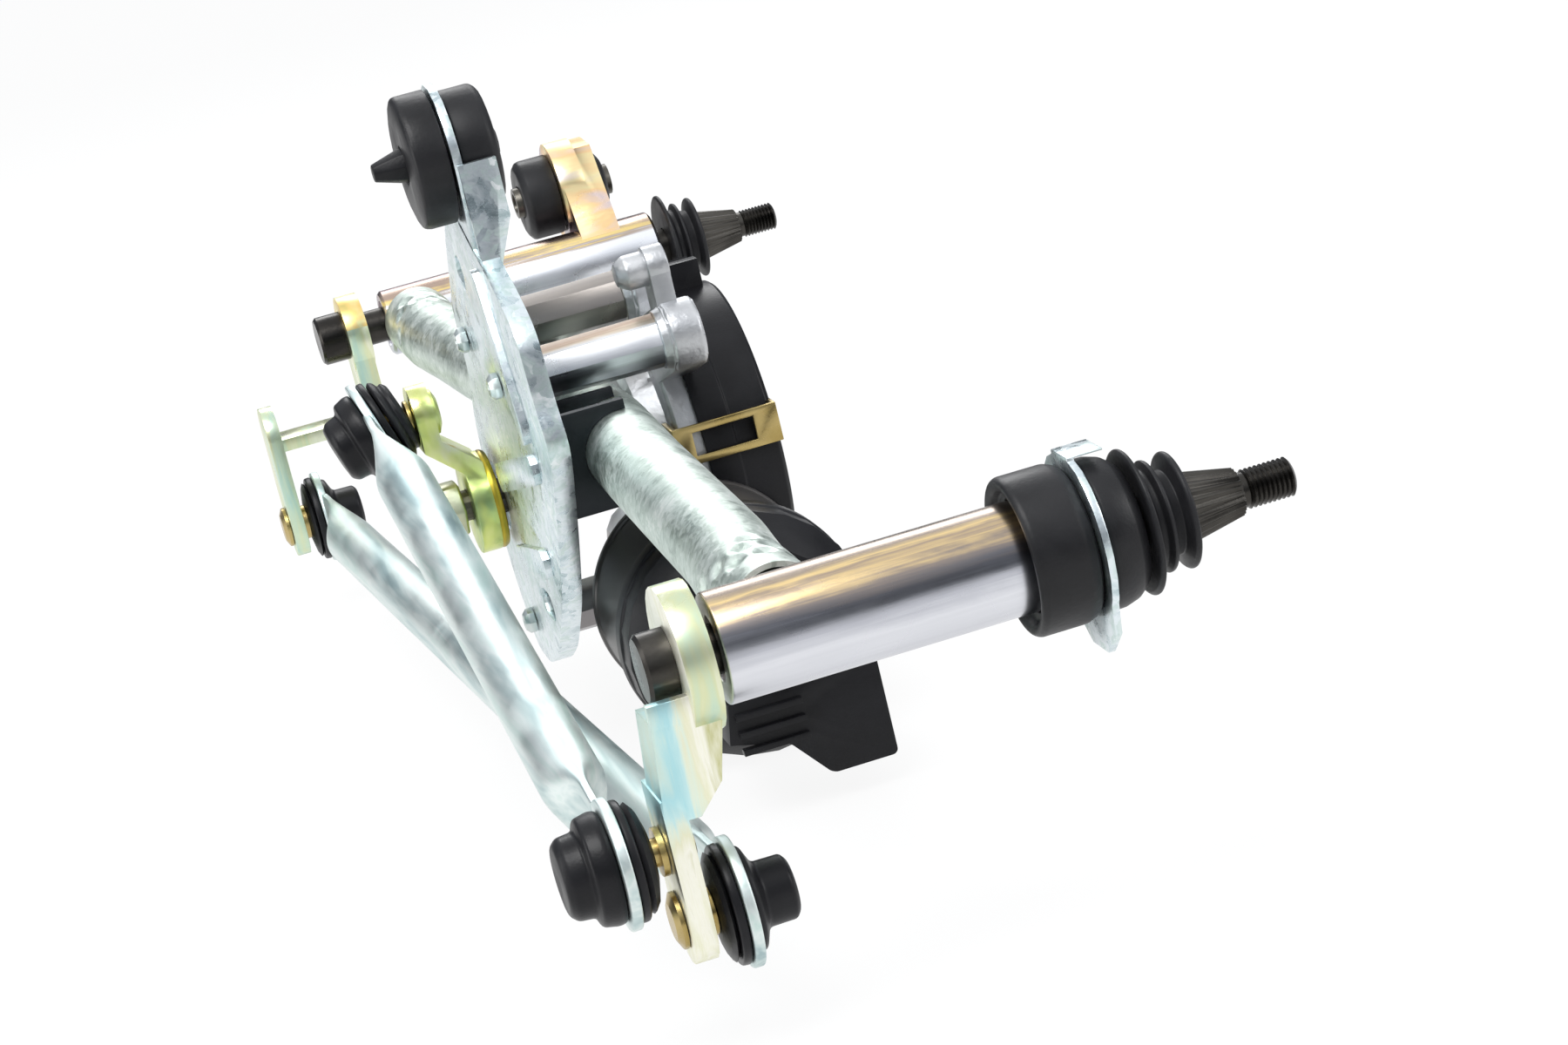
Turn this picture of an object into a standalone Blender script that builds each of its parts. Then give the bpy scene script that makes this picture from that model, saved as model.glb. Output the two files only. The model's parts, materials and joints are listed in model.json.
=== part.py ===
"""Windshield wiper motor with its frame and linkage.

X runs along both wiper shafts towards their threaded tips, Y from the near pivot to the far
pivot, Z up. Sizes are in millimetres and are turned into metres where a mesh is made.
"""

import math

import bmesh
import bpy
import numpy as np
from mathutils import Matrix, Vector

MM = 0.001

# Facets round a full circle
FINE = 24
MEDIUM = 16
COARSE = 8
BALL_STEPS = 5

# Fits
FIT = 0.3
OVERRUN = 1.0

# Layout of the linkage
PIVOT_SPACING = 500.0
CRANK_AXIS_Y = 308.0
CRANK_AXIS_Z = -25.0
CRANK_RADIUS = 31.0
LINK_RADIUS = 60.5
STUD_SPACING = 17.5
DRIVE_RADIUS = LINK_RADIUS - STUD_SPACING

# Pivot housings
HOUSING_LENGTH = 100.0
HOUSING_OD = 27.0
FAR_HOUSING_NECK_OD = 23.0
FAR_HOUSING_NECK_LENGTH = 34.0
BUSH_OD = 16.0
BUSH_LENGTH = 18.0
BUSH_END_SET = 2.0
BUSH_WAIST = 0.8
SPIGOT_OD = 20.4
SPIGOT_GROOVE_OD = 16.6
SPIGOT_LENGTH = 50.0
CRIMP_MIDDLE = 32.0
CRIMP_LENGTH = 14.0
CRIMP_DEPTH = 1.8
CRIMP_COUNT = 4

# Wiper shafts
SHAFT_D = 12.0
SHAFT_TIP = HOUSING_LENGTH + 44.5
SPLINE_START = HOUSING_LENGTH + 17.0
SPLINE_D = 17.0
THREAD_START = HOUSING_LENGTH + 30.5
THREAD_D = 8.0
THREAD_PITCH = 1.25
THREAD_DEPTH = 0.7
SPLINE_TEETH = 30
SPLINE_DEPTH = 0.5
SHAFT_HEAD_D = 17.0
SHAFT_HEAD_LENGTH = 7.0
FAR_HEAD_LENGTH = 9.0
LEVER_GAP = 3.0
HUB_THICKNESS = 7.5
FAR_HUB_SHIFT = 4.5
WASHER_THICKNESS = 1.6
SEAL_CAP_START = HOUSING_LENGTH + 3.8
SEAL_CAP_LENGTH = 12.2
SEAL_CAP_OD = 36.0
SEAL_LIP_OD = 27.5

# Frame tube, centre line as (x, y)
TUBE_OD = 24.0
TUBE_WALL = 1.5
TUBE_NEAR_X = 20.0
TUBE_FAR_X = 10.5
TUBE_LINE = ((22.0, 70.0), (25.0, 185.0), (27.5, 245.0), (24.6, 308.0), (16.0, 370.0), (12.4, 430.0))

# Ball joints
BALL_D = 13.0
STUD_NECK_D = 7.0
STUD_FLANGE_D = 12.0
STUD_FLANGE = 1.5
STUD_SHANK_D = 8.0
RIVET_HEAD_D = 14.0
RIVET_HEAD = 2.2
FLAT_HEAD_D = 9.6
FLAT_HEAD = 1.2
EYE_D = 32.0
EYE_THICKNESS = 2.6
SOCKET_FLANGE_D = 30.0
SOCKET_FLANGE = 2.2
SOCKET_BODY_D = 22.0
SOCKET_DOME = 10.5
BOOT_D = 27.0
BOOT_WALL = 2.2
BOOT_SHARE = 0.52

# Rods
ROD_D = 16.5
ROD_FLAT_WIDTH = 21.0
ROD_FLAT_END = 25.0
ROD_ROUND_START = 46.0
LINK_NEAR_X = -8.5
LINK_FAR_X = -38.0
DRIVE_NEAR_X = -34.0
DRIVE_CRANK_X = -29.0

# Levers
LEVER_WIDTH = 26.0
LEVER_END_D = 22.0
PAD_STEP = 0.3
NEAR_LEVER_FOOT_X = -19.8
NEAR_LEVER_FOOT = 5.6
NEAR_LEVER_HUB_D = 36.0
NEAR_CHANNEL_TOP = -9.8
NEAR_CHANNEL_LIP = -5.0
NEAR_CHANNEL_BOTTOM = -34.0
NEAR_CHANNEL_LEFT = -20.5
NEAR_CHANNEL_FOOT_RIGHT = -9.0
NEAR_PLATE = 5.0
NEAR_CORNER = ((0.0, -41.0), (16.0, -41.0), (16.0, -24.5))
NEAR_CHANNEL_DEPTH = 17.0
NEAR_WEB = 3.0
FAR_LEVER_HUB_D = 27.0
FAR_LEVER_THICKNESS = 4.6
FAR_LEVER_FOOT_X = -48.6
FAR_NECK_WIDTH = 21.0
FAR_WEB_Z = -30.8
FAR_WEB_WIDTH = 15.0
FAR_BAR_TOP = -28.0

# Crank
CRANK_HUB_X = -7.0
CRANK_HUB_D = 31.0
CRANK_THICKNESS = 6.0
CRANK_END_X = -17.2
CRANK_END_D = 19.0
CRANK_STEP_START = 13.0
CRANK_STEP_END = 22.0
CRANK_NUT_FLATS = 16.0
CRANK_NUT_HEIGHT = 8.0
CRANK_WASHER_D = 21.0
OUTPUT_SHAFT_D = 11.0
OUTPUT_THREAD_D = 9.6
OUTPUT_SHAFT_TIP = -21.2

# Motor plate, outline as (y, z)
PLATE_THICKNESS = 3.0
PLATE_FLANGE = 6.0
PLATE_FLANGE_WALL = 2.4
PLATE_OUTLINE = (
    (231.0, 64.0), (214.0, 58.0), (190.0, 46.0), (187.0, 26.0), (181.0, 12.0),
    (206.0, -17.0), (232.0, -43.0), (266.0, -66.0), (290.0, -76.0), (312.0, -75.0),
    (325.0, -52.0), (330.0, -25.0), (322.0, -2.0), (308.0, 14.0), (308.0, 34.0), (296.0, 46.0),
    (276.0, 66.0), (250.0, 72.0),
)
PLATE_EAR_FOOT = (254.0, 56.0)
PLATE_EAR_D = 41.0
PLATE_WING = 12.0
PLATE_WING_LOW = 58.0
PLATE_WING_HIGH = 89.0

PLATE_SLOT_Y = 262.0
PLATE_SLOT_Z = -50.0
PLATE_SLOT_LENGTH = 12.0
PLATE_SLOT_WIDTH = 9.0
PLATE_RIB_HEIGHT = 2.0
PLATE_RIB_WIDTH = 9.0
PLATE_RIBS = (((214.0, 2.0), (284.0, -14.0)), ((214.0, 14.0), (231.0, 54.0)), ((240.0, -32.0), (284.0, -40.0)))
PLATE_WINDOW_Y = 268.0
PLATE_WINDOW_Z = 52.0
PLATE_WINDOW_D = 11.0
SHAFT_WINDOW_D = 22.0
CRADLE_RIBS_Y = (214.0, 232.0, 284.0, 300.0)
CRADLE_THICKNESS = 3.0
CRADLE_HALF_HEIGHT = 15.0
CRADLE_WRAP = 2.0

# Rubber mount at the top of the plate
TOP_MOUNT_Y = 245.0
TOP_MOUNT_Z = 90.0
TOP_MOUNT_DISC_D = 39.0
TOP_MOUNT_NECK_D = 22.0
TOP_MOUNT_LEFT = 11.0
TOP_MOUNT_RIGHT = 14.5
TOP_MOUNT_PIN_REACH = 9.0
TOP_MOUNT_BORE = 11.0
TOP_MOUNT_PIN_D = 10.4

# Gearbox and posts, positions as (y, z)
GEARBOX_BACK = 41.0
GEARBOX_RIM = 50.0
GEARBOX_FRONT = 65.0
GEARBOX_D = 92.0
WHEEL_D = 57.0
WHEEL_CLEARANCE = 3.5
WHEEL_CAVITY_D = WHEEL_D + 2 * WHEEL_CLEARANCE
GEARBOX_FLOOR = 2.4
POSTS = ((245.0, 21.5), (291.0, 28.0), (302.0, -64.0))
POST_D = 15.6
POST_SCREW_D = 5.0
POST_SCREW_DEPTH = 16.0
STUB_Y = 250.0
STUB_Z = 42.0
STUB_D = 10.0
STUB_TIP = 41.0
ARM_WIDTH = 20.0
ARM_THICKNESS = 10.0

# Gear cover
COVER_THICKNESS = 13.0
COVER_D = GEARBOX_D
COVER_LUG_ANGLES = (58.0, 74.0, 90.0)
COVER_LUG_HEIGHT = 9.0
COVER_LUG_WIDTH = 5.0
COVER_RIB_COUNT = 8
COVER_SCREW_ANGLES = (20.0, 128.0, 265.0)
COVER_SCREW_CIRCLE = 78.0
SCREW_D = 4.0
SCREW_HEAD_D = 8.0
SCREW_HEAD = 3.2

# Clip over the near edge of the cover
CLIP_Z = -12.4
CLIP_WIDTH = 18.0
CLIP_STRIP = 1.6
CLIP_LEFT = 47.6
CLIP_GRIP = 11.0
CLIP_WINDOW = 11.0

# Motor
WHEEL_WIDTH = 8.0
WHEEL_TEETH = 44
WHEEL_TOOTH = 1.6
WORM_D = 11.0
MOTOR_AXIS_X = 46.0
MOTOR_AXIS_Z = CRANK_AXIS_Z - WHEEL_D / 2 - WORM_D / 2
YOKE_D = 66.0
YOKE_WALL = 2.0
YOKE_LIP = 0.8
YOKE_START = 204.0
YOKE_END = 262.0
MAGNET_THICKNESS = 6.0
MAGNET_LENGTH = 30.0
ARMATURE_D = YOKE_D - 2 * YOKE_WALL - 2 * MAGNET_THICKNESS - 2.0
ARMATURE_LENGTH = 24.0
ARMATURE_SLOTS = 8
ARMATURE_START = 214.0
MOTOR_SHAFT_D = 6.0
WORM_LENGTH = 44.0
WORM_PITCH = math.pi * (WHEEL_D - WHEEL_TOOTH) / WHEEL_TEETH
TUNNEL_D = 24.0
TUNNEL_END = 352.0

# End cap with the connector
CAP_DEPTH = 40.0
CAP_WALL = 2.4
CAP_START = YOKE_START - 26.0
CONNECTOR_LEFT = 47.0
CONNECTOR_RIGHT = 68.0
CONNECTOR_TOP = -60.0
CONNECTOR_BOTTOM = -87.0
CONNECTOR_NEAR = 146.0
CONNECTOR_FAR = 172.0
CONNECTOR_WALL = 2.0
CONNECTOR_DEPTH = 17.0
CONNECTOR_ARM_LOW = -75.0
CONNECTOR_ARM_END = CAP_START + 16.0

# Mount ring on the near housing
RING_D = 43.0
RING_THICKNESS = 1.8
RING_X = HOUSING_LENGTH - 10.0
RING_TAB_WIDTH = 12.0
RING_TAB_RISE = 3.0
RING_TAB_LENGTH = 9.0
RING_LUG_D = 36.0
RING_LUG_DROP = 10.0
GROMMET_LEFT_D = 39.0
GROMMET_LEFT = 16.0
GROMMET_RIGHT_D = 37.0
GROMMET_RIGHT = 10.6
GROMMET_NECK_D = 31.0

# Mount lug on the far housing
LUG_Y = 22.0
LUG_Z = 25.0
LUG_X = HOUSING_LENGTH - 27.0
LUG_THICKNESS = 9.0
LUG_FOOT = 15.0
LUG_D = 36.0
LUG_BORE = 20.0
LUG_GROMMET_D = 29.0
LUG_GROMMET_LEFT = 12.5
LUG_GROMMET_RIGHT = 9.0
LUG_SLEEVE_D = 11.0
LUG_SLEEVE_BORE = 7.0


def material(name, colour, roughness, metallic):
    found = bpy.data.materials.new(name)
    found.use_nodes = True
    shader = found.node_tree.nodes["Principled BSDF"]
    shader.inputs["Base Color"].default_value = (*colour, 1.0)
    shader.inputs["Roughness"].default_value = roughness
    shader.inputs["Metallic"].default_value = metallic
    found.diffuse_color = (*colour, 1.0)
    return found


def ring(centre, radius, count, axis="X", phase=0.0):
    """Points of a circle whose plane is square to the given axis."""
    found = []
    for step in range(count):
        angle = phase + step * math.tau / count
        across = (radius * math.cos(angle), radius * math.sin(angle))
        if axis == "X":
            offset = Vector((0.0, across[0], across[1]))
        elif axis == "Y":
            offset = Vector((across[1], 0.0, across[0]))
        else:
            offset = Vector((across[0], across[1], 0.0))
        found.append(Vector(centre) + offset)
    return found


def skin(rings, closed=False):
    """A closed body through rings of points. A ring of one point is a pole."""
    mesh = bmesh.new()
    made = [[mesh.verts.new(point) for point in points] for points in rings]
    pairs = list(zip(made, made[1:]))
    if closed:
        pairs.append((made[-1], made[0]))
    for first, second in pairs:
        count = max(len(first), len(second))
        for step in range(count):
            after = (step + 1) % count
            if len(first) == 1:
                mesh.faces.new((first[0], second[after], second[step]))
            elif len(second) == 1:
                mesh.faces.new((first[step], first[after], second[0]))
            else:
                mesh.faces.new((first[step], first[after], second[after], second[step]))
    if not closed:
        for end in (made[0], made[-1]):
            if len(end) > 2:
                mesh.faces.new(end)
    bmesh.ops.recalc_face_normals(mesh, faces=mesh.faces)
    return mesh


def revolve(profile, count=MEDIUM, axis="X", at=(0.0, 0.0, 0.0), closed=False):
    """Turns a profile of (distance along the axis, radius) round the axis."""
    direction = {"X": Vector((1, 0, 0)), "Y": Vector((0, 1, 0)), "Z": Vector((0, 0, 1))}[axis]
    rings = []
    for along, radius in profile:
        centre = Vector(at) + direction * along
        rings.append([centre] if radius == 0.0 else ring(centre, radius, count, axis))
    return skin(rings, closed)


def rod(start, end, diameter, count=MEDIUM, axis="X", at=(0.0, 0.0, 0.0)):
    return revolve(((start, diameter / 2), (end, diameter / 2)), count, axis, at)


def prism(outline, start, end):
    """Pulls an outline of (y, z) points along X."""
    return skin([[Vector((x, y, z)) for y, z in outline] for x in (start, end)])


def prism_y(outline, start, end):
    """Pulls an outline of (x, z) points along Y."""
    return skin([[Vector((x, y, z)) for x, z in outline] for y in (start, end)])


def box(low, high):
    outline = ((low[1], low[2]), (high[1], low[2]), (high[1], high[2]), (low[1], high[2]))
    return prism(outline, low[0], high[0])


def bar_outline(start, end, width, count=5):
    """A bar with round ends between two (y, z) points."""
    heading = math.atan2(end[1] - start[1], end[0] - start[0])
    found = []
    for middle, turn in ((start, heading + math.pi / 2), (end, heading - math.pi / 2)):
        for step in range(count + 1):
            angle = turn + math.pi * step / count
            found.append((middle[0] + width / 2 * math.cos(angle), middle[1] + width / 2 * math.sin(angle)))
    return found


def rounded(corners, reach=0.3, steps=3):
    """Rounds the corners of an outline: each one becomes a short curve between its sides."""
    found = []
    count = len(corners)
    for index in range(count):
        here = np.array(corners[index])
        before = here + (np.array(corners[index - 1]) - here) * reach
        after = here + (np.array(corners[(index + 1) % count]) - here) * reach
        for step in range(steps + 1):
            share = step / steps
            point = before * (1 - share) ** 2 + here * 2 * share * (1 - share) + after * share**2
            found.append((float(point[0]), float(point[1])))
    return found


def inset(outline, distance):
    """Moves each side of an outline inwards."""
    count = len(outline)
    points = [np.array(point) for point in outline]
    area = sum(
        points[i][0] * points[(i + 1) % count][1] - points[(i + 1) % count][0] * points[i][1]
        for i in range(count)
    )
    side = 1.0 if area > 0 else -1.0
    found = []
    for index in range(count):
        before = points[index] - points[index - 1]
        after = points[(index + 1) % count] - points[index]
        before = before / np.linalg.norm(before)
        after = after / np.linalg.norm(after)
        first = np.array((-before[1], before[0])) * side
        second = np.array((-after[1], after[0])) * side
        both = first + second
        both = both / max(0.5, float(both @ both) / 2)
        found.append(tuple(points[index] + both * distance))
    return found


def bent_strip(path, thickness, widths):
    """A plate of the given thickness that follows a path of (x, z) points; widths run along Y."""
    points = [np.array(point) for point in path]
    rings = []
    for index, point in enumerate(points):
        before = point - points[index - 1] if index else points[1] - point
        after = points[index + 1] - point if index + 1 < len(points) else before
        before = before / np.linalg.norm(before)
        after = after / np.linalg.norm(after)
        normal = np.array((-before[1] - after[1], before[0] + after[0]))
        normal = normal / np.linalg.norm(normal)
        reach = thickness / 2 / max(0.3, float(normal @ np.array((-before[1], before[0]))))
        half = widths[index] / 2
        rings.append([
            Vector((point[0] + side * normal[0] * reach, turn * half, point[1] + side * normal[1] * reach))
            for side, turn in ((1, 1), (1, -1), (-1, -1), (-1, 1))
        ])
    return skin(rings)


def smooth_path(points, start, end, steps=2):
    """Points of a curve through all the points given, with its two ends."""
    line = [np.array(point) for point in (start, *points, end)]
    found = []
    for index in range(len(line) - 1):
        before = line[max(0, index - 1)]
        here = line[index]
        then = line[index + 1]
        after = line[min(len(line) - 1, index + 2)]
        for step in range(steps):
            s = step / steps
            found.append(0.5 * (
                2 * here + (then - before) * s + (2 * before - 5 * here + 4 * then - after) * s**2
                + (3 * here - before - 3 * then + after) * s**3
            ))
    found.append(line[-1])
    return found


class Body:
    """One named piece. Its mesh is in millimetres round the piece's own origin."""

    def __init__(self, name, mesh):
        data = bpy.data.meshes.new(name)
        mesh.to_mesh(data)
        mesh.free()
        self.object = bpy.data.objects.new(name, data)
        bpy.context.scene.collection.objects.link(self.object)

    def combine(self, shape, operation):
        tool = Body("tool", shape).object
        modifier = self.object.modifiers.new(operation, "BOOLEAN")
        modifier.operation = operation
        modifier.solver = "EXACT"
        modifier.object = tool
        self.bake()
        bpy.data.objects.remove(tool)

    def bake(self):
        bpy.context.view_layer.update()
        graph = bpy.context.evaluated_depsgraph_get()
        data = bpy.data.meshes.new_from_object(self.object.evaluated_get(graph))
        self.object.modifiers.clear()
        self.object.data = data

    def add(self, *shapes):
        for shape in shapes:
            self.combine(shape, "UNION")
        return self

    def cut(self, *shapes):
        for shape in shapes:
            self.combine(shape, "DIFFERENCE")
        return self

    def bevel(self, width, angle=50.0):
        modifier = self.object.modifiers.new("edges", "BEVEL")
        modifier.width = width
        modifier.segments = 1
        modifier.limit_method = "ANGLE"
        modifier.angle_limit = math.radians(angle)
        self.bake()
        return self

    def finish(self, look, parent, at=(0.0, 0.0, 0.0), sharp=35.0):
        data = self.object.data
        data.transform(Matrix.Scale(MM, 4))
        data.materials.clear()
        data.materials.append(look)
        data.shade_smooth()
        data.set_sharp_from_angle(angle=math.radians(sharp))
        data.name = self.object.name
        self.object.parent = parent
        self.object.location = Vector(at) * MM
        return self.object


def anchor(name, at=(0.0, 0.0, 0.0), parent=None, turn=0.0):
    """An empty on a joint axis, which carries the pieces that move together."""
    found = bpy.data.objects.new(name, None)
    found.empty_display_size = 0.02
    found.parent = parent
    found.location = Vector(at) * MM
    found.rotation_euler = (turn, 0.0, 0.0)
    bpy.context.scene.collection.objects.link(found)
    return found


def hexagon(start, end, flats, axis_at=(0.0, 0.0)):
    corner = flats / math.sqrt(3)
    outline = [
        (axis_at[0] + corner * math.cos(step * math.pi / 3), axis_at[1] + corner * math.sin(step * math.pi / 3))
        for step in range(6)
    ]
    return prism(outline, start, end)


def polar(angle, radius):
    """A (y, z) point round the crank axis."""
    turn = math.radians(angle)
    return (radius * math.cos(turn), radius * math.sin(turn))


def thread(start, end, diameter, pitch, depth, count=COARSE, samples=3, axis="X"):
    """A threaded rod: the radius follows a helical ridge."""
    rings = [ring((start, 0, 0), diameter / 2 - depth, count)]
    total = int((end - start) / pitch * samples)
    for index in range(total + 1):
        along = start + (end - start) * index / total
        points = []
        fade = min(1.0, index / samples, (total - index) / samples)
        for step in range(count):
            phase = ((along - start) / pitch - step / count) % 1.0
            ridge = 1.0 - abs(2.0 * phase - 1.0)
            radius = diameter / 2 - depth + depth * ridge * fade
            angle = step * math.tau / count
            points.append(Vector((along, radius * math.cos(angle), radius * math.sin(angle))))
        rings.append(points)
    shape = skin(rings[1:])
    if axis == "Y":
        bmesh.ops.rotate(shape, cent=(0, 0, 0), matrix=Matrix.Rotation(math.pi / 2, 3, "Z"), verts=shape.verts)
    return shape


def toothed(start, end, first_d, last_d, depth, teeth):
    """A splined cone between two diameters."""
    rings = []
    for along, diameter in ((start, first_d), (end, last_d)):
        points = []
        for step in range(teeth * 2):
            radius = diameter / 2 - (depth if step % 2 else 0.0)
            angle = step * math.pi / teeth
            points.append(Vector((along, radius * math.cos(angle), radius * math.sin(angle))))
        rings.append(points)
    return skin(rings)


def socket(at, side):
    """Plastic cup that snaps over a ball. Side is +1 where its dome points along +X."""
    inner = BALL_D / 2 + FIT
    opening = -(EYE_THICKNESS / 2 + FIT + SOCKET_FLANGE)
    start = math.asin(opening / inner)
    cup = [(inner, 0.0)]
    for step in range(1, BALL_STEPS + 1):
        angle = math.pi / 2 + (start - math.pi / 2) * step / BALL_STEPS
        cup.append((inner * math.sin(angle), inner * math.cos(angle)))
    shell = [
        (opening, SOCKET_FLANGE_D / 2),
        (opening + SOCKET_FLANGE, SOCKET_FLANGE_D / 2),
        (opening + SOCKET_FLANGE, SOCKET_BODY_D / 2),
        (3.0, SOCKET_BODY_D / 2),
        (3.6, SOCKET_BODY_D / 2 - 1.0),
        (SOCKET_DOME * 0.8, SOCKET_BODY_D / 2 - 2.4),
        (SOCKET_DOME * 0.97, SOCKET_BODY_D / 4),
        (SOCKET_DOME, 0.0),
    ]
    return revolve([(side * along, radius) for along, radius in cup + shell], MEDIUM, at=at)


def boot(at, side, reach):
    """Rubber gaiter between a socket and the face that carries its ball."""
    start = EYE_THICKNESS / 2 + SOCKET_FLANGE + 2 * FIT
    end = start + (reach - start) * BOOT_SHARE
    depth = end - start
    outer = BOOT_D / 2
    inner = STUD_NECK_D / 2 + 2 * FIT
    profile = [
        (start, outer - 0.8),
        (start + depth * 0.3, outer),
        (start + depth * 0.7, outer - 2.0),
        (end, outer - 6.0),
        (end, inner),
        (end - BOOT_WALL / 2, inner),
        (start + depth * 0.3, outer - 1.0 - BOOT_WALL),
        (start, outer - 0.8 - BOOT_WALL),
    ]
    return revolve([(-side * along, radius) for along, radius in profile], MEDIUM, at=at, closed=True)


def stud(at, side, reach, plate, head_d=RIVET_HEAD_D, head=RIVET_HEAD):
    """Ball stud. Reach runs from ball centre to its plate; with no plate thickness it has no shank."""
    profile = [(BALL_D / 2, 0.0)]
    neck = -math.sqrt(BALL_D**2 / 4 - STUD_NECK_D**2 / 4)
    first = math.pi / 2
    last = math.asin(neck / (BALL_D / 2))
    for step in range(1, BALL_STEPS + 1):
        angle = first + (last - first) * step / BALL_STEPS
        profile.append((BALL_D / 2 * math.sin(angle), BALL_D / 2 * math.cos(angle)))
    face = -(reach - FIT)
    profile += [
        (face + STUD_FLANGE, STUD_NECK_D / 2),
        (face + STUD_FLANGE, STUD_FLANGE_D / 2),
        (face, STUD_FLANGE_D / 2),
    ]
    if plate:
        back = face - plate - 2 * FIT
        profile += [
            (face, STUD_SHANK_D / 2 - FIT),
            (back, STUD_SHANK_D / 2 - FIT),
            (back, head_d / 2),
            (back - head * 0.5, head_d / 2),
            (back - head, head_d / 3),
            (back - head, 0.0),
        ]
    else:
        profile.append((face, 0.0))
    return revolve([(side * along, radius) for along, radius in profile], MEDIUM, at=at)


def pressed_rod(length, start_x, end_x):
    """A tube along Y whose two ends are pressed flat."""
    stations = []
    for y in (6.0, ROD_FLAT_END, (ROD_FLAT_END + ROD_ROUND_START) / 2, ROD_ROUND_START):
        stations.append(y)
    stations += [length - y for y in reversed(stations)]
    rings = []
    for y in stations:
        near_end = min(y, length - y)
        share = min(1.0, max(0.0, (near_end - ROD_FLAT_END) / (ROD_ROUND_START - ROD_FLAT_END)))
        ease = share * share * (3 - 2 * share)
        half_x = EYE_THICKNESS / 2 + (ROD_D - EYE_THICKNESS) / 2 * ease
        half_z = ROD_FLAT_WIDTH / 2 + (ROD_D - ROD_FLAT_WIDTH) / 2 * ease
        power = 0.35 + 0.65 * ease
        run = min(1.0, max(0.0, (y - ROD_FLAT_END) / (length - 2 * ROD_FLAT_END)))
        middle = start_x + (end_x - start_x) * run
        points = []
        for step in range(MEDIUM):
            angle = (step + 0.5) * math.tau / MEDIUM
            wide = math.copysign(abs(math.cos(angle)) ** power, math.cos(angle))
            high = math.copysign(abs(math.sin(angle)) ** power, math.sin(angle))
            points.append(Vector((middle + half_x * wide, y, half_z * high)))
        rings.append(points)
    return skin(rings)


def rod_with_eyes(name, length, start_x, end_x):
    body = Body(name, pressed_rod(length, start_x, end_x))
    for x, y in ((start_x, 0.0), (end_x, length)):
        body.add(rod(-EYE_THICKNESS / 2, EYE_THICKNESS / 2, EYE_D, FINE, at=(x, y, 0)))
        body.cut(rod(-OVERRUN - EYE_THICKNESS, OVERRUN + EYE_THICKNESS, SOCKET_BODY_D + 2 * FIT, at=(x, y, 0)))
    return body


def tube_profile():
    """Stations of the frame tube as (x, y, crimp share)."""
    near = (TUBE_NEAR_X, SPIGOT_LENGTH + 4.0)
    far = (TUBE_FAR_X, PIVOT_SPACING - SPIGOT_LENGTH - 4.0)
    line = smooth_path(TUBE_LINE, near, far)
    stations = []
    ends = [5.0] + [CRIMP_MIDDLE + CRIMP_LENGTH * share for share in (-0.5, -0.25, 0.0, 0.25, 0.5)]
    for y in ends:
        stations.append((TUBE_NEAR_X, y, max(0.0, 1 - abs(y - CRIMP_MIDDLE) * 2 / CRIMP_LENGTH)))
    stations += [(float(x), float(y), 0.0) for x, y in line]
    for y in reversed(ends):
        stations.append((TUBE_FAR_X, PIVOT_SPACING - y, max(0.0, 1 - abs(y - CRIMP_MIDDLE) * 2 / CRIMP_LENGTH)))
    return stations


def tube_rings(stations, radius, count):
    rings = []
    for index, (x, y, crimp) in enumerate(stations):
        before = stations[max(0, index - 1)]
        after = stations[min(len(stations) - 1, index + 1)]
        heading = np.array((after[0] - before[0], after[1] - before[1]))
        heading = heading / np.linalg.norm(heading)
        points = []
        for step in range(count):
            angle = (step + 0.5) * math.tau / count
            dent = max(0.0, math.cos(angle * CRIMP_COUNT)) ** 2
            depth = CRIMP_DEPTH * math.sin(crimp * math.pi / 2) * dent
            across = (radius - depth) * math.sin(angle)
            points.append(Vector((
                x + across * heading[1], y - across * heading[0], (radius - depth) * math.cos(angle)
            )))
        rings.append(points)
    return rings


def frame_tube(look, root):
    stations = tube_profile()
    outer = tube_rings(stations, TUBE_OD / 2, FINE)
    inner = tube_rings(stations, TUBE_OD / 2 - TUBE_WALL, FINE)
    body = Body("frame_tube", skin(outer + inner[::-1], closed=True))
    for y, diameter in ((0.0, HOUSING_OD), (PIVOT_SPACING, FAR_HOUSING_NECK_OD)):
        body.cut(rod(-60.0, 120.0, diameter + 2 * FIT, FINE, at=(0, y, 0)))
    return body.finish(look, root)


def spigot(x, heading):
    """Side arm of a housing that the frame tube is crimped to; heading is +1 along Y."""
    groove = (CRIMP_MIDDLE - CRIMP_LENGTH / 2 - 1.0, CRIMP_MIDDLE + CRIMP_LENGTH / 2 + 1.0)
    profile = [
        (HOUSING_OD / 4, SPIGOT_OD / 2),
        (groove[0], SPIGOT_OD / 2),
        (groove[0], SPIGOT_GROOVE_OD / 2),
        (groove[1], SPIGOT_GROOVE_OD / 2),
        (groove[1], SPIGOT_OD / 2),
        (SPIGOT_LENGTH - 1.5, SPIGOT_OD / 2),
        (SPIGOT_LENGTH, SPIGOT_OD / 2 - 1.5),
    ]
    return revolve([(heading * along, radius) for along, radius in profile], MEDIUM, "Y", at=(x, 0, 0))


def housing_bores(body):
    body.cut(rod(-OVERRUN, HOUSING_LENGTH + OVERRUN, BUSH_OD + 2 * FIT))


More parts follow.
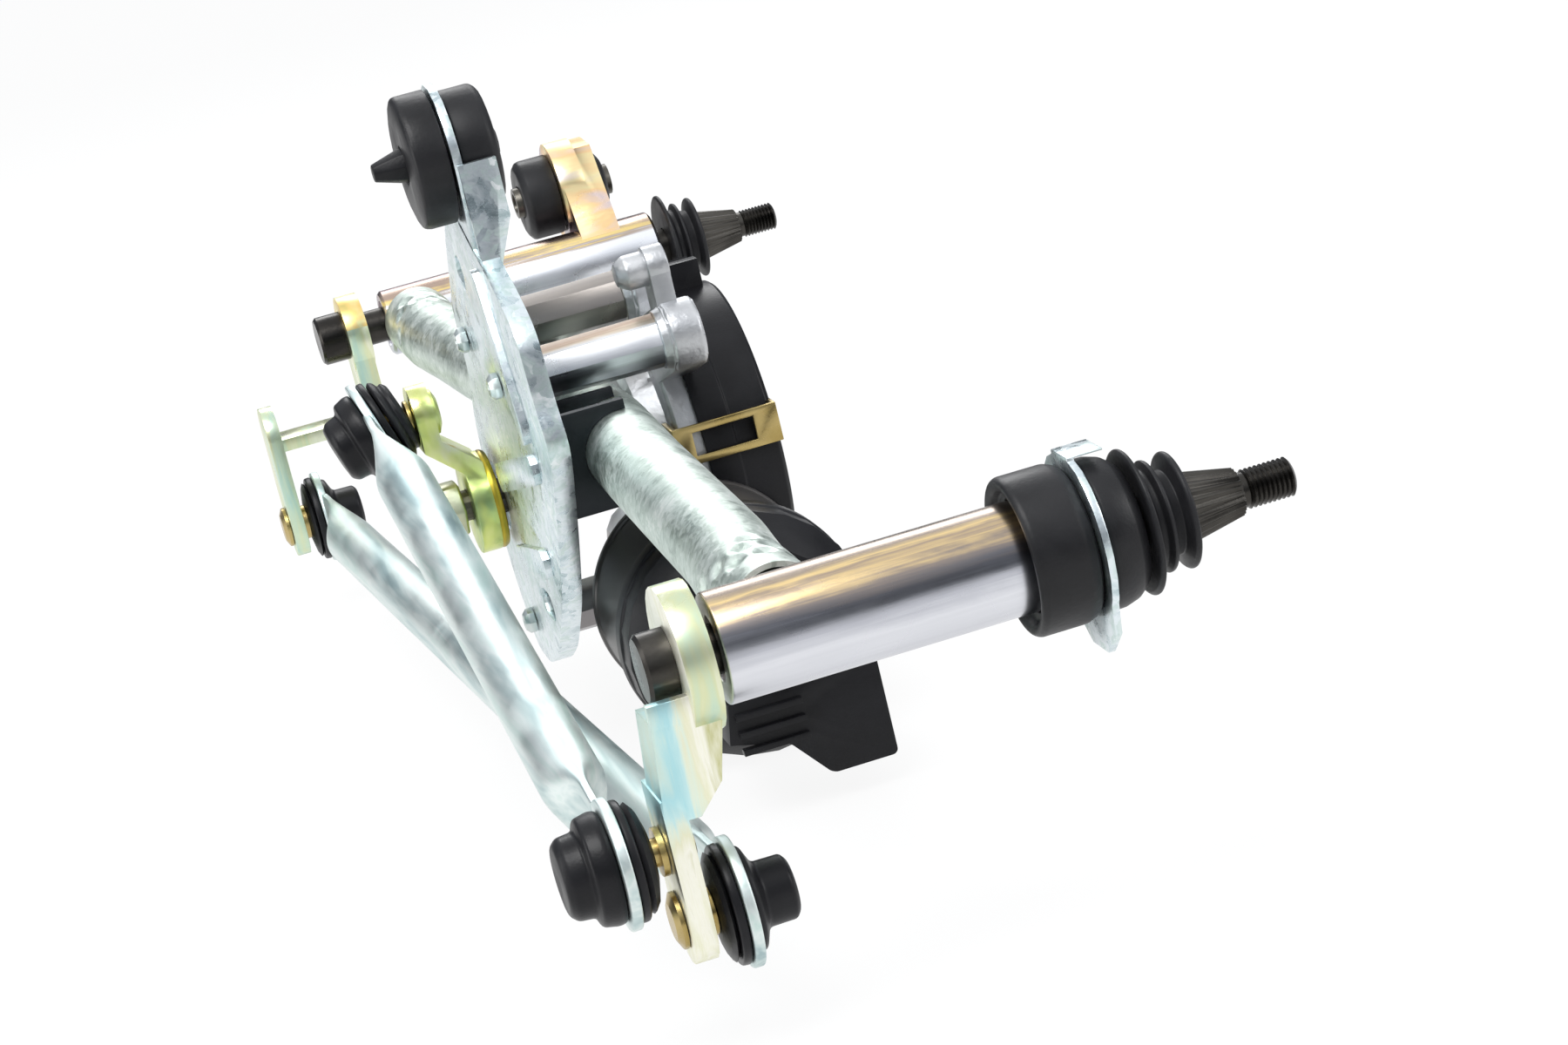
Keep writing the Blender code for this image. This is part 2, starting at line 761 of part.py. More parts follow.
def pivot_housings(look, root):
    half = HOUSING_OD / 2
    near = Body("near_pivot_housing", revolve((
        (0.0, half - 1.0), (1.0, half), (64.0, half), (64.0, half - 0.5), (66.0, half - 0.5),
        (66.0, half), (HOUSING_LENGTH - 1.0, half), (HOUSING_LENGTH, half - 1.0),
    ), FINE))
    near.add(spigot(TUBE_NEAR_X, 1))
    housing_bores(near)
    near.finish(look, root)

    neck = FAR_HOUSING_NECK_OD / 2
    far = Body("far_pivot_housing", revolve((
        (0.0, neck - 1.0), (1.0, neck), (FAR_HOUSING_NECK_LENGTH, neck),
        (FAR_HOUSING_NECK_LENGTH + 4.0, half),
        (HOUSING_LENGTH - 1.0, half), (HOUSING_LENGTH, half - 1.0),
    ), FINE))
    far.add(spigot(TUBE_FAR_X, -1))
    lug_end = LUG_X + LUG_THICKNESS
    reach = LUG_D / 2
    web = [
        (-11.0, 6.0), (11.0, -7.0), (LUG_Y + reach * 0.8, LUG_Z - reach * 0.6),
        (LUG_Y + reach * 0.4, LUG_Z + reach * 0.9),
        (LUG_Y - reach * 0.5, LUG_Z + reach * 0.84),
    ]
    far.add(prism(web, LUG_X + 1.0, LUG_X + LUG_FOOT))
    far.add(rod(LUG_X, lug_end, LUG_D, FINE, at=(0, LUG_Y, LUG_Z)))
    far.cut(rod(lug_end, lug_end + 20.0, LUG_GROMMET_D + 2.0, FINE, at=(0, LUG_Y, LUG_Z)))
    far.cut(rod(LUG_X - 20.0, lug_end + 20.0, LUG_BORE + 2 * FIT, at=(0, LUG_Y, LUG_Z)))
    housing_bores(far)
    far.finish(look, root, at=(0, PIVOT_SPACING, 0))


def pivot_bushes(look, root):
    inner = SHAFT_D / 2 + FIT / 2
    outer = BUSH_OD / 2
    waist = outer - BUSH_WAIST
    end = HOUSING_LENGTH - BUSH_END_SET
    for name, y in (("near_pivot_bush", 0.0), ("far_pivot_bush", PIVOT_SPACING)):
        Body(name, revolve((
            (BUSH_END_SET, inner), (BUSH_END_SET, outer), (BUSH_END_SET + BUSH_LENGTH, outer),
            (BUSH_END_SET + BUSH_LENGTH + 2.0, waist), (end - BUSH_LENGTH - 2.0, waist),
            (end - BUSH_LENGTH, outer), (end, outer), (end, inner),
        ), MEDIUM, closed=True)).finish(look, root, at=(0, y, 0))


def near_mount(zinc, rubber, root):
    bore = HOUSING_OD / 2 + FIT
    start = RING_X - FIT - GROMMET_LEFT
    end = RING_X + RING_THICKNESS + FIT + GROMMET_RIGHT
    Body("near_grommet", revolve((
        (start, bore), (start, GROMMET_LEFT_D / 2 - 3.0), (start + 1.0, GROMMET_LEFT_D / 2 - 0.8),
        (start + 2.5, GROMMET_LEFT_D / 2), (RING_X - FIT, GROMMET_LEFT_D / 2),
        (RING_X - FIT, GROMMET_NECK_D / 2), (RING_X + RING_THICKNESS + FIT, GROMMET_NECK_D / 2),
        (RING_X + RING_THICKNESS + FIT, GROMMET_RIGHT_D / 2 - 0.5), (end - 4.0, GROMMET_RIGHT_D / 2),
        (end - 1.0, GROMMET_RIGHT_D / 2 - 0.8), (end, GROMMET_RIGHT_D / 2 - 2.0), (end, bore),
    ), FINE, closed=True)).finish(rubber, root)

    top = RING_D / 2 + RING_TAB_RISE
    half = RING_TAB_WIDTH / 2
    plate = Body("near_mount_ring", rod(RING_X, RING_X + RING_THICKNESS, RING_D, FINE))
    tab = [(-half, RING_D / 2 - 4.0), (half, RING_D / 2 - 4.0), (half, top), (-half, top)]
    plate.add(prism(tab, RING_X, RING_X + RING_THICKNESS))
    fold = [(-half, top - RING_THICKNESS), (half, top - RING_THICKNESS), (half, top), (-half, top)]
    plate.add(prism(fold, RING_X + RING_THICKNESS / 2, RING_X + RING_TAB_LENGTH))
    plate.add(prism(bar_outline((0.0, 0.0), (0.0, -RING_LUG_DROP), RING_LUG_D), RING_X, RING_X + RING_THICKNESS))
    plate.cut(rod(RING_X - OVERRUN, RING_X + RING_THICKNESS + OVERRUN, GROMMET_NECK_D + 2 * FIT, FINE))
    plate.finish(zinc, root)


def far_mount(steel, rubber, root):
    place = (0, PIVOT_SPACING + LUG_Y, LUG_Z)
    bore = LUG_SLEEVE_D / 2 + FIT
    left = LUG_X - FIT
    right = LUG_X + LUG_THICKNESS + FIT
    neck = LUG_BORE / 2
    Body("far_lug_grommet", revolve((
        (left - LUG_GROMMET_LEFT, bore), (left - LUG_GROMMET_LEFT, LUG_GROMMET_D / 2 - 2.5),
        (left - LUG_GROMMET_LEFT + 2.0, LUG_GROMMET_D / 2), (left, LUG_GROMMET_D / 2), (left, neck),
        (right, neck), (right, LUG_GROMMET_D / 2 - 1.5),
        (right + 3.0, LUG_GROMMET_D / 2 - 2.0), (right + 4.5, neck + 0.5),
        (right + LUG_GROMMET_RIGHT - 1.5, neck + 0.5),
        (right + LUG_GROMMET_RIGHT, neck - 2.0), (right + LUG_GROMMET_RIGHT, bore),
    ), MEDIUM, closed=True)).finish(rubber, root, at=place)
    sleeve = LUG_SLEEVE_D / 2
    hole = LUG_SLEEVE_BORE / 2
    start = left - LUG_GROMMET_LEFT - 2.0
    end = right + LUG_GROMMET_RIGHT + 2.0
    Body("far_lug_sleeve", revolve((
        (start, hole), (start, sleeve), (end, sleeve), (end, hole),
    ), MEDIUM, closed=True)).finish(steel, root, at=place)


def motor_plate(look, root):
    outline = rounded(PLATE_OUTLINE)
    body = Body("motor_plate", prism(outline, 0.0, PLATE_FLANGE))
    body.cut(prism(inset(outline, PLATE_FLANGE_WALL), PLATE_THICKNESS, PLATE_FLANGE + OVERRUN))
    ear = bar_outline((TOP_MOUNT_Y, TOP_MOUNT_Z), PLATE_EAR_FOOT, PLATE_EAR_D, 8)
    body.add(prism(ear, PAD_STEP, PLATE_THICKNESS - PAD_STEP))
    edge = TOP_MOUNT_Y - PLATE_EAR_D / 2
    wing = (
        (OVERRUN, PLATE_WING_LOW), (PLATE_WING * 0.5, PLATE_WING_LOW), (PLATE_WING, PLATE_WING_LOW + 14.0),
        (PLATE_WING, PLATE_WING_HIGH), (OVERRUN, PLATE_WING_HIGH),
    )
    body.add(prism_y(wing, edge - PLATE_FLANGE_WALL / 2, edge + PLATE_FLANGE_WALL / 2))
    for start, end in PLATE_RIBS:
        body.add(prism(bar_outline(start, end, PLATE_RIB_WIDTH), -PLATE_RIB_HEIGHT, PLATE_THICKNESS / 2))
    for y in CRADLE_RIBS_Y:
        stations = tube_profile()
        tube_x = float(np.interp(y, [s[1] for s in stations], [s[0] for s in stations]))
        high = CRADLE_HALF_HEIGHT
        rib = ((PLATE_THICKNESS / 2, -high), (tube_x + CRADLE_WRAP, -high), (tube_x + CRADLE_WRAP, high),
               (PLATE_THICKNESS / 2, high))
        body.add(prism_y(rib, y - CRADLE_THICKNESS / 2, y + CRADLE_THICKNESS / 2))
    outer = tube_rings(tube_profile(), TUBE_OD / 2 + FIT, FINE)
    body.cut(skin(outer))
    low = -2 * OVERRUN - PLATE_RIB_HEIGHT
    high = PLATE_THICKNESS + OVERRUN
    body.cut(rod(low, high, SHAFT_WINDOW_D, at=(0, CRANK_AXIS_Y, CRANK_AXIS_Z)))
    body.cut(rod(low, high, TOP_MOUNT_NECK_D + 2 * FIT, at=(0, TOP_MOUNT_Y, TOP_MOUNT_Z)))
    body.cut(rod(low, high, PLATE_WINDOW_D, COARSE, at=(0, PLATE_WINDOW_Y, PLATE_WINDOW_Z)))
    ends = PLATE_SLOT_LENGTH / 2 - PLATE_SLOT_WIDTH / 4
    slot = bar_outline((PLATE_SLOT_Y - ends, PLATE_SLOT_Z), (PLATE_SLOT_Y + ends, PLATE_SLOT_Z), PLATE_SLOT_WIDTH)
    body.cut(prism(slot, low, high))
    for y, z in POSTS:
        body.cut(rod(low, high, POST_SCREW_D + 4 * FIT, COARSE, at=(0, y, z)))
    body.finish(look, root)


def top_mount(rubber, plastic, root):
    disc = TOP_MOUNT_DISC_D / 2
    neck = TOP_MOUNT_NECK_D / 2
    bore = TOP_MOUNT_BORE / 2
    right = PLATE_THICKNESS + FIT
    place = (0, TOP_MOUNT_Y, TOP_MOUNT_Z)
    Body("plate_grommet", revolve((
        (-TOP_MOUNT_LEFT, bore), (-TOP_MOUNT_LEFT, disc - 4.5), (-TOP_MOUNT_LEFT + 0.8, disc - 1.0),
        (-TOP_MOUNT_LEFT + 2.0, disc), (-FIT, disc), (-FIT, neck), (right, neck), (right, disc - 1.6),
        (TOP_MOUNT_RIGHT - 2.0, disc - 1.6), (TOP_MOUNT_RIGHT, disc - 3.5), (TOP_MOUNT_RIGHT, bore),
    ), FINE, closed=True)).finish(rubber, root, at=place)
    pin = TOP_MOUNT_PIN_D / 2
    tip = -TOP_MOUNT_LEFT - TOP_MOUNT_PIN_REACH
    Body("plate_grommet_pin", revolve((
        (tip, 0.0), (tip, pin - 2.6), (-TOP_MOUNT_LEFT - 1.0, pin - 0.2),
        (-TOP_MOUNT_LEFT + 4.0, pin), (TOP_MOUNT_RIGHT + 1.0, pin), (TOP_MOUNT_RIGHT + 2.0, pin - 1.0),
        (TOP_MOUNT_RIGHT + 2.0, 0.0),
    ), COARSE)).finish(plastic, root, at=place)


def gearbox(look, root):
    middle = (0, CRANK_AXIS_Y, CRANK_AXIS_Z)
    body = Body("gearbox_housing", revolve((
        (GEARBOX_BACK, WHEEL_CAVITY_D / 2), (GEARBOX_BACK + 2.0, WHEEL_CAVITY_D / 2 + 3.0),
        (GEARBOX_RIM, WHEEL_CAVITY_D / 2 + 3.5), (GEARBOX_RIM, GEARBOX_D / 2 - 1.0),
        (GEARBOX_RIM + 1.0, GEARBOX_D / 2), (GEARBOX_FRONT, GEARBOX_D / 2),
    ), FINE, at=middle))
    tunnel = (MOTOR_AXIS_X, 0, MOTOR_AXIS_Z)
    body.add(revolve((
        (YOKE_END + FIT, YOKE_D / 2 - 2.0), (YOKE_END + 5.0, YOKE_D / 2 - 2.0),
        (YOKE_END + 12.0, TUNNEL_D / 2 + 2.0),
        (TUNNEL_END - 6.0, TUNNEL_D / 2), (TUNNEL_END, TUNNEL_D / 2 - 4.0),
    ), MEDIUM, "Y", at=tunnel))
    for index, (y, z) in enumerate(POSTS):
        start = PLATE_THICKNESS + FIT
        body.add(revolve((
            (start, POST_D / 2 - 1.0), (start + 1.0, POST_D / 2),
            (GEARBOX_RIM + ARM_THICKNESS, POST_D / 2 + 0.5),
        ), COARSE, at=(0, y, z)))
        if index < 2:
            inner = polar((118.0, 84.0)[index], 38.0)
            target = (CRANK_AXIS_Y + inner[0], CRANK_AXIS_Z + inner[1])
            body.add(prism(bar_outline((y, z), target, ARM_WIDTH), GEARBOX_RIM, GEARBOX_RIM + ARM_THICKNESS))
    body.add(revolve((
        (STUB_TIP, 0.0), (STUB_TIP + 0.8, STUB_D / 3), (STUB_TIP + 3.0, STUB_D / 2),
        (GEARBOX_RIM + 2.0, STUB_D / 2),
    ), COARSE, at=(0, STUB_Y, STUB_Z)))
    body.add(prism(
        bar_outline((STUB_Y, STUB_Z), (POSTS[0][0] + 6.0, POSTS[0][1] - 4.0), 12.0), GEARBOX_RIM, GEARBOX_RIM + 6.0
    ))
    body.add(rod(GEARBOX_BACK - 14.0, GEARBOX_BACK + OVERRUN, 20.0, at=middle))
    body.cut(revolve((
        (GEARBOX_BACK + GEARBOX_FLOOR, WHEEL_CAVITY_D / 2), (GEARBOX_FRONT + OVERRUN, WHEEL_CAVITY_D / 2),
    ), FINE, at=middle))
    body.cut(rod(GEARBOX_FRONT, GEARBOX_FRONT + 30.0, COVER_D + 4 * FIT, FINE, at=middle))
    body.cut(rod(GEARBOX_BACK - 20.0, GEARBOX_FRONT, OUTPUT_SHAFT_D + 3.0 + 2 * FIT, at=middle))
    body.cut(rod(YOKE_END - 2.0, TUNNEL_END - 5.0, WORM_D + 2.0, axis="Y", at=tunnel))
    body.cut(rod(YOKE_END - 2.0, YOKE_END + 3.5, 30.0, axis="Y", at=tunnel))
    for y, z in POSTS:
        body.cut(rod(PLATE_THICKNESS - OVERRUN, PLATE_THICKNESS + POST_SCREW_DEPTH, POST_SCREW_D, COARSE, at=(0, y, z)))
    pocket_back = GEARBOX_RIM + 3.5
    for start, end in ((104.0, 116.0), (124.0, 136.0), (72.0, 84.0)):
        corners = [polar(start, 41.0), polar(end, 41.0), polar((start + end) / 2, 34.0)]
        outline = [(CRANK_AXIS_Y + y, CRANK_AXIS_Z + z) for y, z in corners]
        body.cut(prism(outline, GEARBOX_RIM - OVERRUN, pocket_back))
    for angle in COVER_SCREW_ANGLES:
        y, z = polar(angle, COVER_SCREW_CIRCLE / 2)
        body.cut(rod(GEARBOX_FRONT - 10.0, GEARBOX_FRONT + OVERRUN, SCREW_D + 2 * FIT, COARSE,
                     at=(0, CRANK_AXIS_Y + y, CRANK_AXIS_Z + z)))
    body.finish(look, root)


def gear_cover(look, root):
    start = GEARBOX_FRONT + FIT
    end = start + COVER_THICKNESS
    half = COVER_D / 2
    middle = (0, CRANK_AXIS_Y, CRANK_AXIS_Z)
    body = Body("gear_cover", revolve((
        (start + 3.0, 0.0), (start + 3.0, half - 12.0), (start, half - 12.0), (start, half - 0.5),
        (start + 3.5, half), (start + 4.0, half - 2.0), (end - 3.0, half - 4.0), (end, half - 9.0),
        (end, 12.0), (end + 2.0, 10.0), (end + 2.0, 0.0),
    ), FINE))
    for angle in COVER_LUG_ANGLES:
        turn = math.radians(angle)
        across = Vector((0.0, -math.sin(turn), math.cos(turn)))
        along = Vector((0.0, math.cos(turn), math.sin(turn)))
        outline = []
        for out, side in ((half - 6.0, -1), (half + COVER_LUG_HEIGHT, -1), (half + COVER_LUG_HEIGHT, 1), (half - 6.0, 1)):
            point = along * out + across * side * COVER_LUG_WIDTH / 2
            outline.append((point.y, point.z))
        body.add(prism(outline, start, end - 2.0))
    for index in range(COVER_RIB_COUNT):
        angle = 360.0 / COVER_RIB_COUNT * index + 11.0
        rib = prism(bar_outline(polar(angle, 14.0), polar(angle, 33.0), 2.4, 3), end - 1.0, end + 1.4)
        body.add(rib)
    for angle in COVER_SCREW_ANGLES:
        y, z = polar(angle, COVER_SCREW_CIRCLE / 2)
        body.cut(rod(start - OVERRUN, end + OVERRUN, SCREW_D + 4 * FIT, COARSE, at=(0, y, z)))
        body.cut(rod(end - 5.0, end + 4.0, SCREW_HEAD_D + 4 * FIT, COARSE, at=(0, y, z)))
    body.finish(look, root, at=middle)


def screw(tip, head_face, side, place):
    """A screw along X whose head sits at head_face and points to the given side."""
    return revolve([
        (tip, 0.0), (tip, SCREW_D / 2 - 0.4), (head_face, SCREW_D / 2 - 0.4), (head_face, SCREW_HEAD_D / 2),
        (head_face + side * SCREW_HEAD * 0.6, SCREW_HEAD_D / 2),
        (head_face + side * SCREW_HEAD, SCREW_HEAD_D / 3),
        (head_face + side * SCREW_HEAD, 1.2), (head_face + side * SCREW_HEAD * 0.5, 0.0),
    ], COARSE, at=place)


def screws(look, root):
    face = GEARBOX_FRONT + FIT + COVER_THICKNESS - 5.0 + FIT
    places = [polar(angle, COVER_SCREW_CIRCLE / 2) for angle in COVER_SCREW_ANGLES]
    for index, (y, z) in enumerate(places):
        shape = screw(GEARBOX_FRONT - 8.0, face, 1, (0, 0, 0))
        Body(f"cover_screw_{index + 1}", shape).finish(look, root, at=(0, CRANK_AXIS_Y + y, CRANK_AXIS_Z + z))
    for index, (y, z) in enumerate(POSTS):
        shape = screw(PLATE_THICKNESS + POST_SCREW_DEPTH - 4.0, -FIT, -1, (0, 0, 0))
        Body(f"plate_screw_{index + 1}", shape).finish(look, root, at=(0, y, z))


def cover_clip(look, root):
    left = CLIP_LEFT
    right = GEARBOX_FRONT + FIT + COVER_THICKNESS + FIT
    edge = CRANK_AXIS_Y - COVER_D / 2 - FIT
    low = CLIP_Z - CLIP_WIDTH / 2
    high = CLIP_Z + CLIP_WIDTH / 2
    outline = (
        (left, edge + CLIP_GRIP), (left, edge - CLIP_STRIP - 1.0),
        (right + CLIP_STRIP, edge - CLIP_STRIP - 1.0),
        (right + CLIP_STRIP, edge + CLIP_GRIP), (right, edge + CLIP_GRIP), (right, edge - 1.0),
        (left + CLIP_STRIP, edge - 1.0), (left + CLIP_STRIP, edge + CLIP_GRIP),
    )
    rings = [[Vector((x, y, z)) for x, y in outline] for z in (low, high)]
    body = Body("cover_clip", skin(rings))
    window = CLIP_WINDOW / 2
    body.cut(box((left + 6.0, edge - 6.0, CLIP_Z - window), (right - 6.0, edge + 1.0, CLIP_Z + window)))
    body.finish(look, root)


def output_bush(look, root):
    inner = OUTPUT_SHAFT_D / 2 + FIT / 2
    outer = OUTPUT_SHAFT_D / 2 + 1.5
    start = GEARBOX_BACK - 13.5
    end = GEARBOX_BACK + GEARBOX_FLOOR - 0.5
    Body("output_bush", revolve((
        (start, inner), (start, outer), (end, outer), (end, inner),
    ), MEDIUM, closed=True)).finish(look, root, at=(0, CRANK_AXIS_Y, CRANK_AXIS_Z))


def motor(looks, root):
    place = (MOTOR_AXIS_X, 0, MOTOR_AXIS_Z)
    half = YOKE_D / 2
    wall = YOKE_WALL
    Body("motor_yoke", revolve((
        (YOKE_START, 4.0), (YOKE_START, 9.0), (YOKE_START + 2.0, half - 10.0), (YOKE_START + 5.0, half - 3.5),
        (YOKE_START + 10.0, half), (YOKE_END - 4.0, half), (YOKE_END - 3.0, half + YOKE_LIP),
        (YOKE_END, half + YOKE_LIP),
        (YOKE_END, half - wall), (YOKE_START + 10.0, half - wall), (YOKE_START + 6.0, half - 3.5 - wall),
        (YOKE_START + 4.0, half - 11.0), (YOKE_START + 4.0, 4.0),
    ), FINE, "Y", closed=True)).finish(looks["can"], root, at=place)

    outer = half - wall - FIT
    inner = outer - MAGNET_THICKNESS
    start = YOKE_START + 14.0

    def magnet(middle):
        outline = []
        for radius, turns in ((outer, (-55, -33, -11, 11, 33, 55)), (inner, (55, 33, 11, -11, -33, -55))):
            for turn in turns:
                angle = math.radians(middle + turn)
                outline.append((radius * math.cos(angle), radius * math.sin(angle)))
        return prism_y(outline, start, start + MAGNET_LENGTH)

    for name, middle in (("right_magnet", 0.0), ("left_magnet", 180.0)):
        Body(name, magnet(middle)).finish(looks["magnet"], root, at=place)

    Body("brush_holder", revolve((
        (YOKE_END - 12.0, 12.5), (YOKE_END - 12.0, outer - 0.5), (YOKE_END - 9.0, outer - 0.5),
        (YOKE_END - 9.0, 12.5),
    ), MEDIUM, "Y", closed=True)).finish(looks["plastic"], root, at=place)
    for name, near, far in (("right_brush", 8.6, 16.0), ("left_brush", -16.0, -8.6)):
        shape = box((near, YOKE_END - 18.0, -3.0), (far, YOKE_END - 12.0 - FIT, 3.0))
        Body(name, shape).finish(looks["carbon"], root, at=place)


def end_cap(looks, root):
    half = YOKE_D / 2 + FIT
    place = (MOTOR_AXIS_X, 0, MOTOR_AXIS_Z)
    start = CAP_START
    end = start + CAP_DEPTH
    body = Body("connector_cap", revolve((
        (start + 20.0, 0.0), (start + 20.0, half - 8.0), (end - 6.0, half), (end, half),
        (end, half + CAP_WALL),
        (start + 24.0, half + CAP_WALL), (start + 14.0, half - 6.0), (start + 12.0, 0.0),
    ), FINE, "Y"))
    block = [
        (CONNECTOR_LEFT, CONNECTOR_TOP), (CONNECTOR_RIGHT, CONNECTOR_TOP + 2.0),
        (CONNECTOR_RIGHT, CONNECTOR_BOTTOM), (CONNECTOR_LEFT + 2.0, CONNECTOR_BOTTOM),
        (CONNECTOR_LEFT - 8.0, CONNECTOR_BOTTOM + 12.0), (CONNECTOR_LEFT - 24.0, CONNECTOR_BOTTOM + 16.0),
        (CONNECTOR_LEFT - 22.0, CONNECTOR_TOP),
    ]
    local = [(x - MOTOR_AXIS_X, z - MOTOR_AXIS_Z) for x, z in block]
    body.add(prism_y(local, CONNECTOR_NEAR, CONNECTOR_FAR))
    body.add(box(
        (CONNECTOR_LEFT - 20.0 - MOTOR_AXIS_X, CONNECTOR_FAR - OVERRUN, CONNECTOR_ARM_LOW - MOTOR_AXIS_Z),
        (CONNECTOR_LEFT + 6.0 - MOTOR_AXIS_X, CONNECTOR_ARM_END, CONNECTOR_TOP - OVERRUN - MOTOR_AXIS_Z),
    ))
    for step in range(3):
        top = CONNECTOR_TOP - 3.0 - 5.0 * step - MOTOR_AXIS_Z
        low = (CONNECTOR_LEFT - 21.0 - MOTOR_AXIS_X, CONNECTOR_NEAR - 2.0, top - 1.6)
        high = (CONNECTOR_LEFT - 2.0 - MOTOR_AXIS_X, CONNECTOR_NEAR + 1.0, top)
        body.add(box(low, high))
    wall = CONNECTOR_WALL
    low = (CONNECTOR_RIGHT - CONNECTOR_DEPTH - MOTOR_AXIS_X, CONNECTOR_NEAR + wall,
           CONNECTOR_BOTTOM + wall + 1.0 - MOTOR_AXIS_Z)
    high = (CONNECTOR_RIGHT + 3.0 - MOTOR_AXIS_X, CONNECTOR_FAR - wall, CONNECTOR_TOP - wall - MOTOR_AXIS_Z)
    body.cut(box(low, high))
    body.finish(looks["plastic"], root, at=place)

    base = CONNECTOR_RIGHT - CONNECTOR_DEPTH + FIT - MOTOR_AXIS_X
    middle = (CONNECTOR_NEAR + CONNECTOR_FAR) / 2
    for index, z in enumerate((CONNECTOR_BOTTOM + 9.0, CONNECTOR_TOP - 8.5)):
        low = (base, middle - 3.2, z - 0.4 - MOTOR_AXIS_Z)
        high = (base + 11.0, middle + 3.2, z + 0.4 - MOTOR_AXIS_Z)
        Body(f"terminal_{index + 1}", box(low, high)).finish(looks["brass"], root, at=place)


def armature(looks, parent):
    bearing_end = YOKE_START + 4.0
    half = MOTOR_SHAFT_D / 2
    worm_start = YOKE_END + 14.0
    shaft = Body("armature_shaft", revolve((
        (bearing_end, half - 0.6), (bearing_end + 0.6, half), (worm_start + OVERRUN, half),
    ), MEDIUM, "Y"))
    shape = thread(worm_start, worm_start + WORM_LENGTH, WORM_D, WORM_PITCH, 1.8, axis="Y", samples=4)
    shaft.add(shape)
    shaft.add(rod(worm_start + WORM_LENGTH - OVERRUN, TUNNEL_END - 7.0, MOTOR_SHAFT_D, axis="Y"))
    shaft.finish(looks["steel"], parent)

    outline = []
    for slot in range(ARMATURE_SLOTS):
        middle = slot * math.tau / ARMATURE_SLOTS
        for turn, share in ((-15.0, 1.0), (-5.0, 1.0), (5.0, 1.0), (15.0, 1.0), (15.0, 0.81), (30.0, 0.81)):
            angle = middle + math.radians(turn)
            radius = share * ARMATURE_D / 2
            outline.append((radius * math.cos(angle), radius * math.sin(angle)))
    core = Body("armature_core", prism_y(outline, ARMATURE_START, ARMATURE_START + ARMATURE_LENGTH))
    core.cut(rod(ARMATURE_START - 2.0, ARMATURE_START + ARMATURE_LENGTH + 2.0, MOTOR_SHAFT_D + 2 * FIT, axis="Y"))
    core.finish(looks["core"], parent)

    def end_turns(start, end):
        inner = MOTOR_SHAFT_D / 2 + FIT
        outer = ARMATURE_D / 2 - 1.4
        return revolve((
            (start, inner), (start, outer), (start + (end - start) * 0.7, outer), (end, outer - 2.0),
            (end, inner),
        ), MEDIUM, "Y", closed=True)

    before = ARMATURE_START - FIT
    after = ARMATURE_START + ARMATURE_LENGTH + FIT
    body = Body("armature_windings", end_turns(before, before - 5.0))
    body.add(end_turns(after, after + 5.0))
    for slot in range(ARMATURE_SLOTS):
        angle = (slot + 0.5) * math.tau / ARMATURE_SLOTS
        middle = (ARMATURE_D / 2 - 2.4) * Vector((math.cos(angle), 0.0, math.sin(angle)))
        body.add(rod(before - OVERRUN, after + OVERRUN, 1.8, 6, "Y", middle))
    body.finish(looks["copper"], parent)
    end = YOKE_END - 13.0
    start = after + 5.0 + FIT
    Body("commutator", revolve((
        (start, MOTOR_SHAFT_D / 2 + FIT), (start, 8.2), (end, 8.2), (end, MOTOR_SHAFT_D / 2 + FIT),
    ), MEDIUM, "Y", closed=True)).finish(looks["copper"], parent)


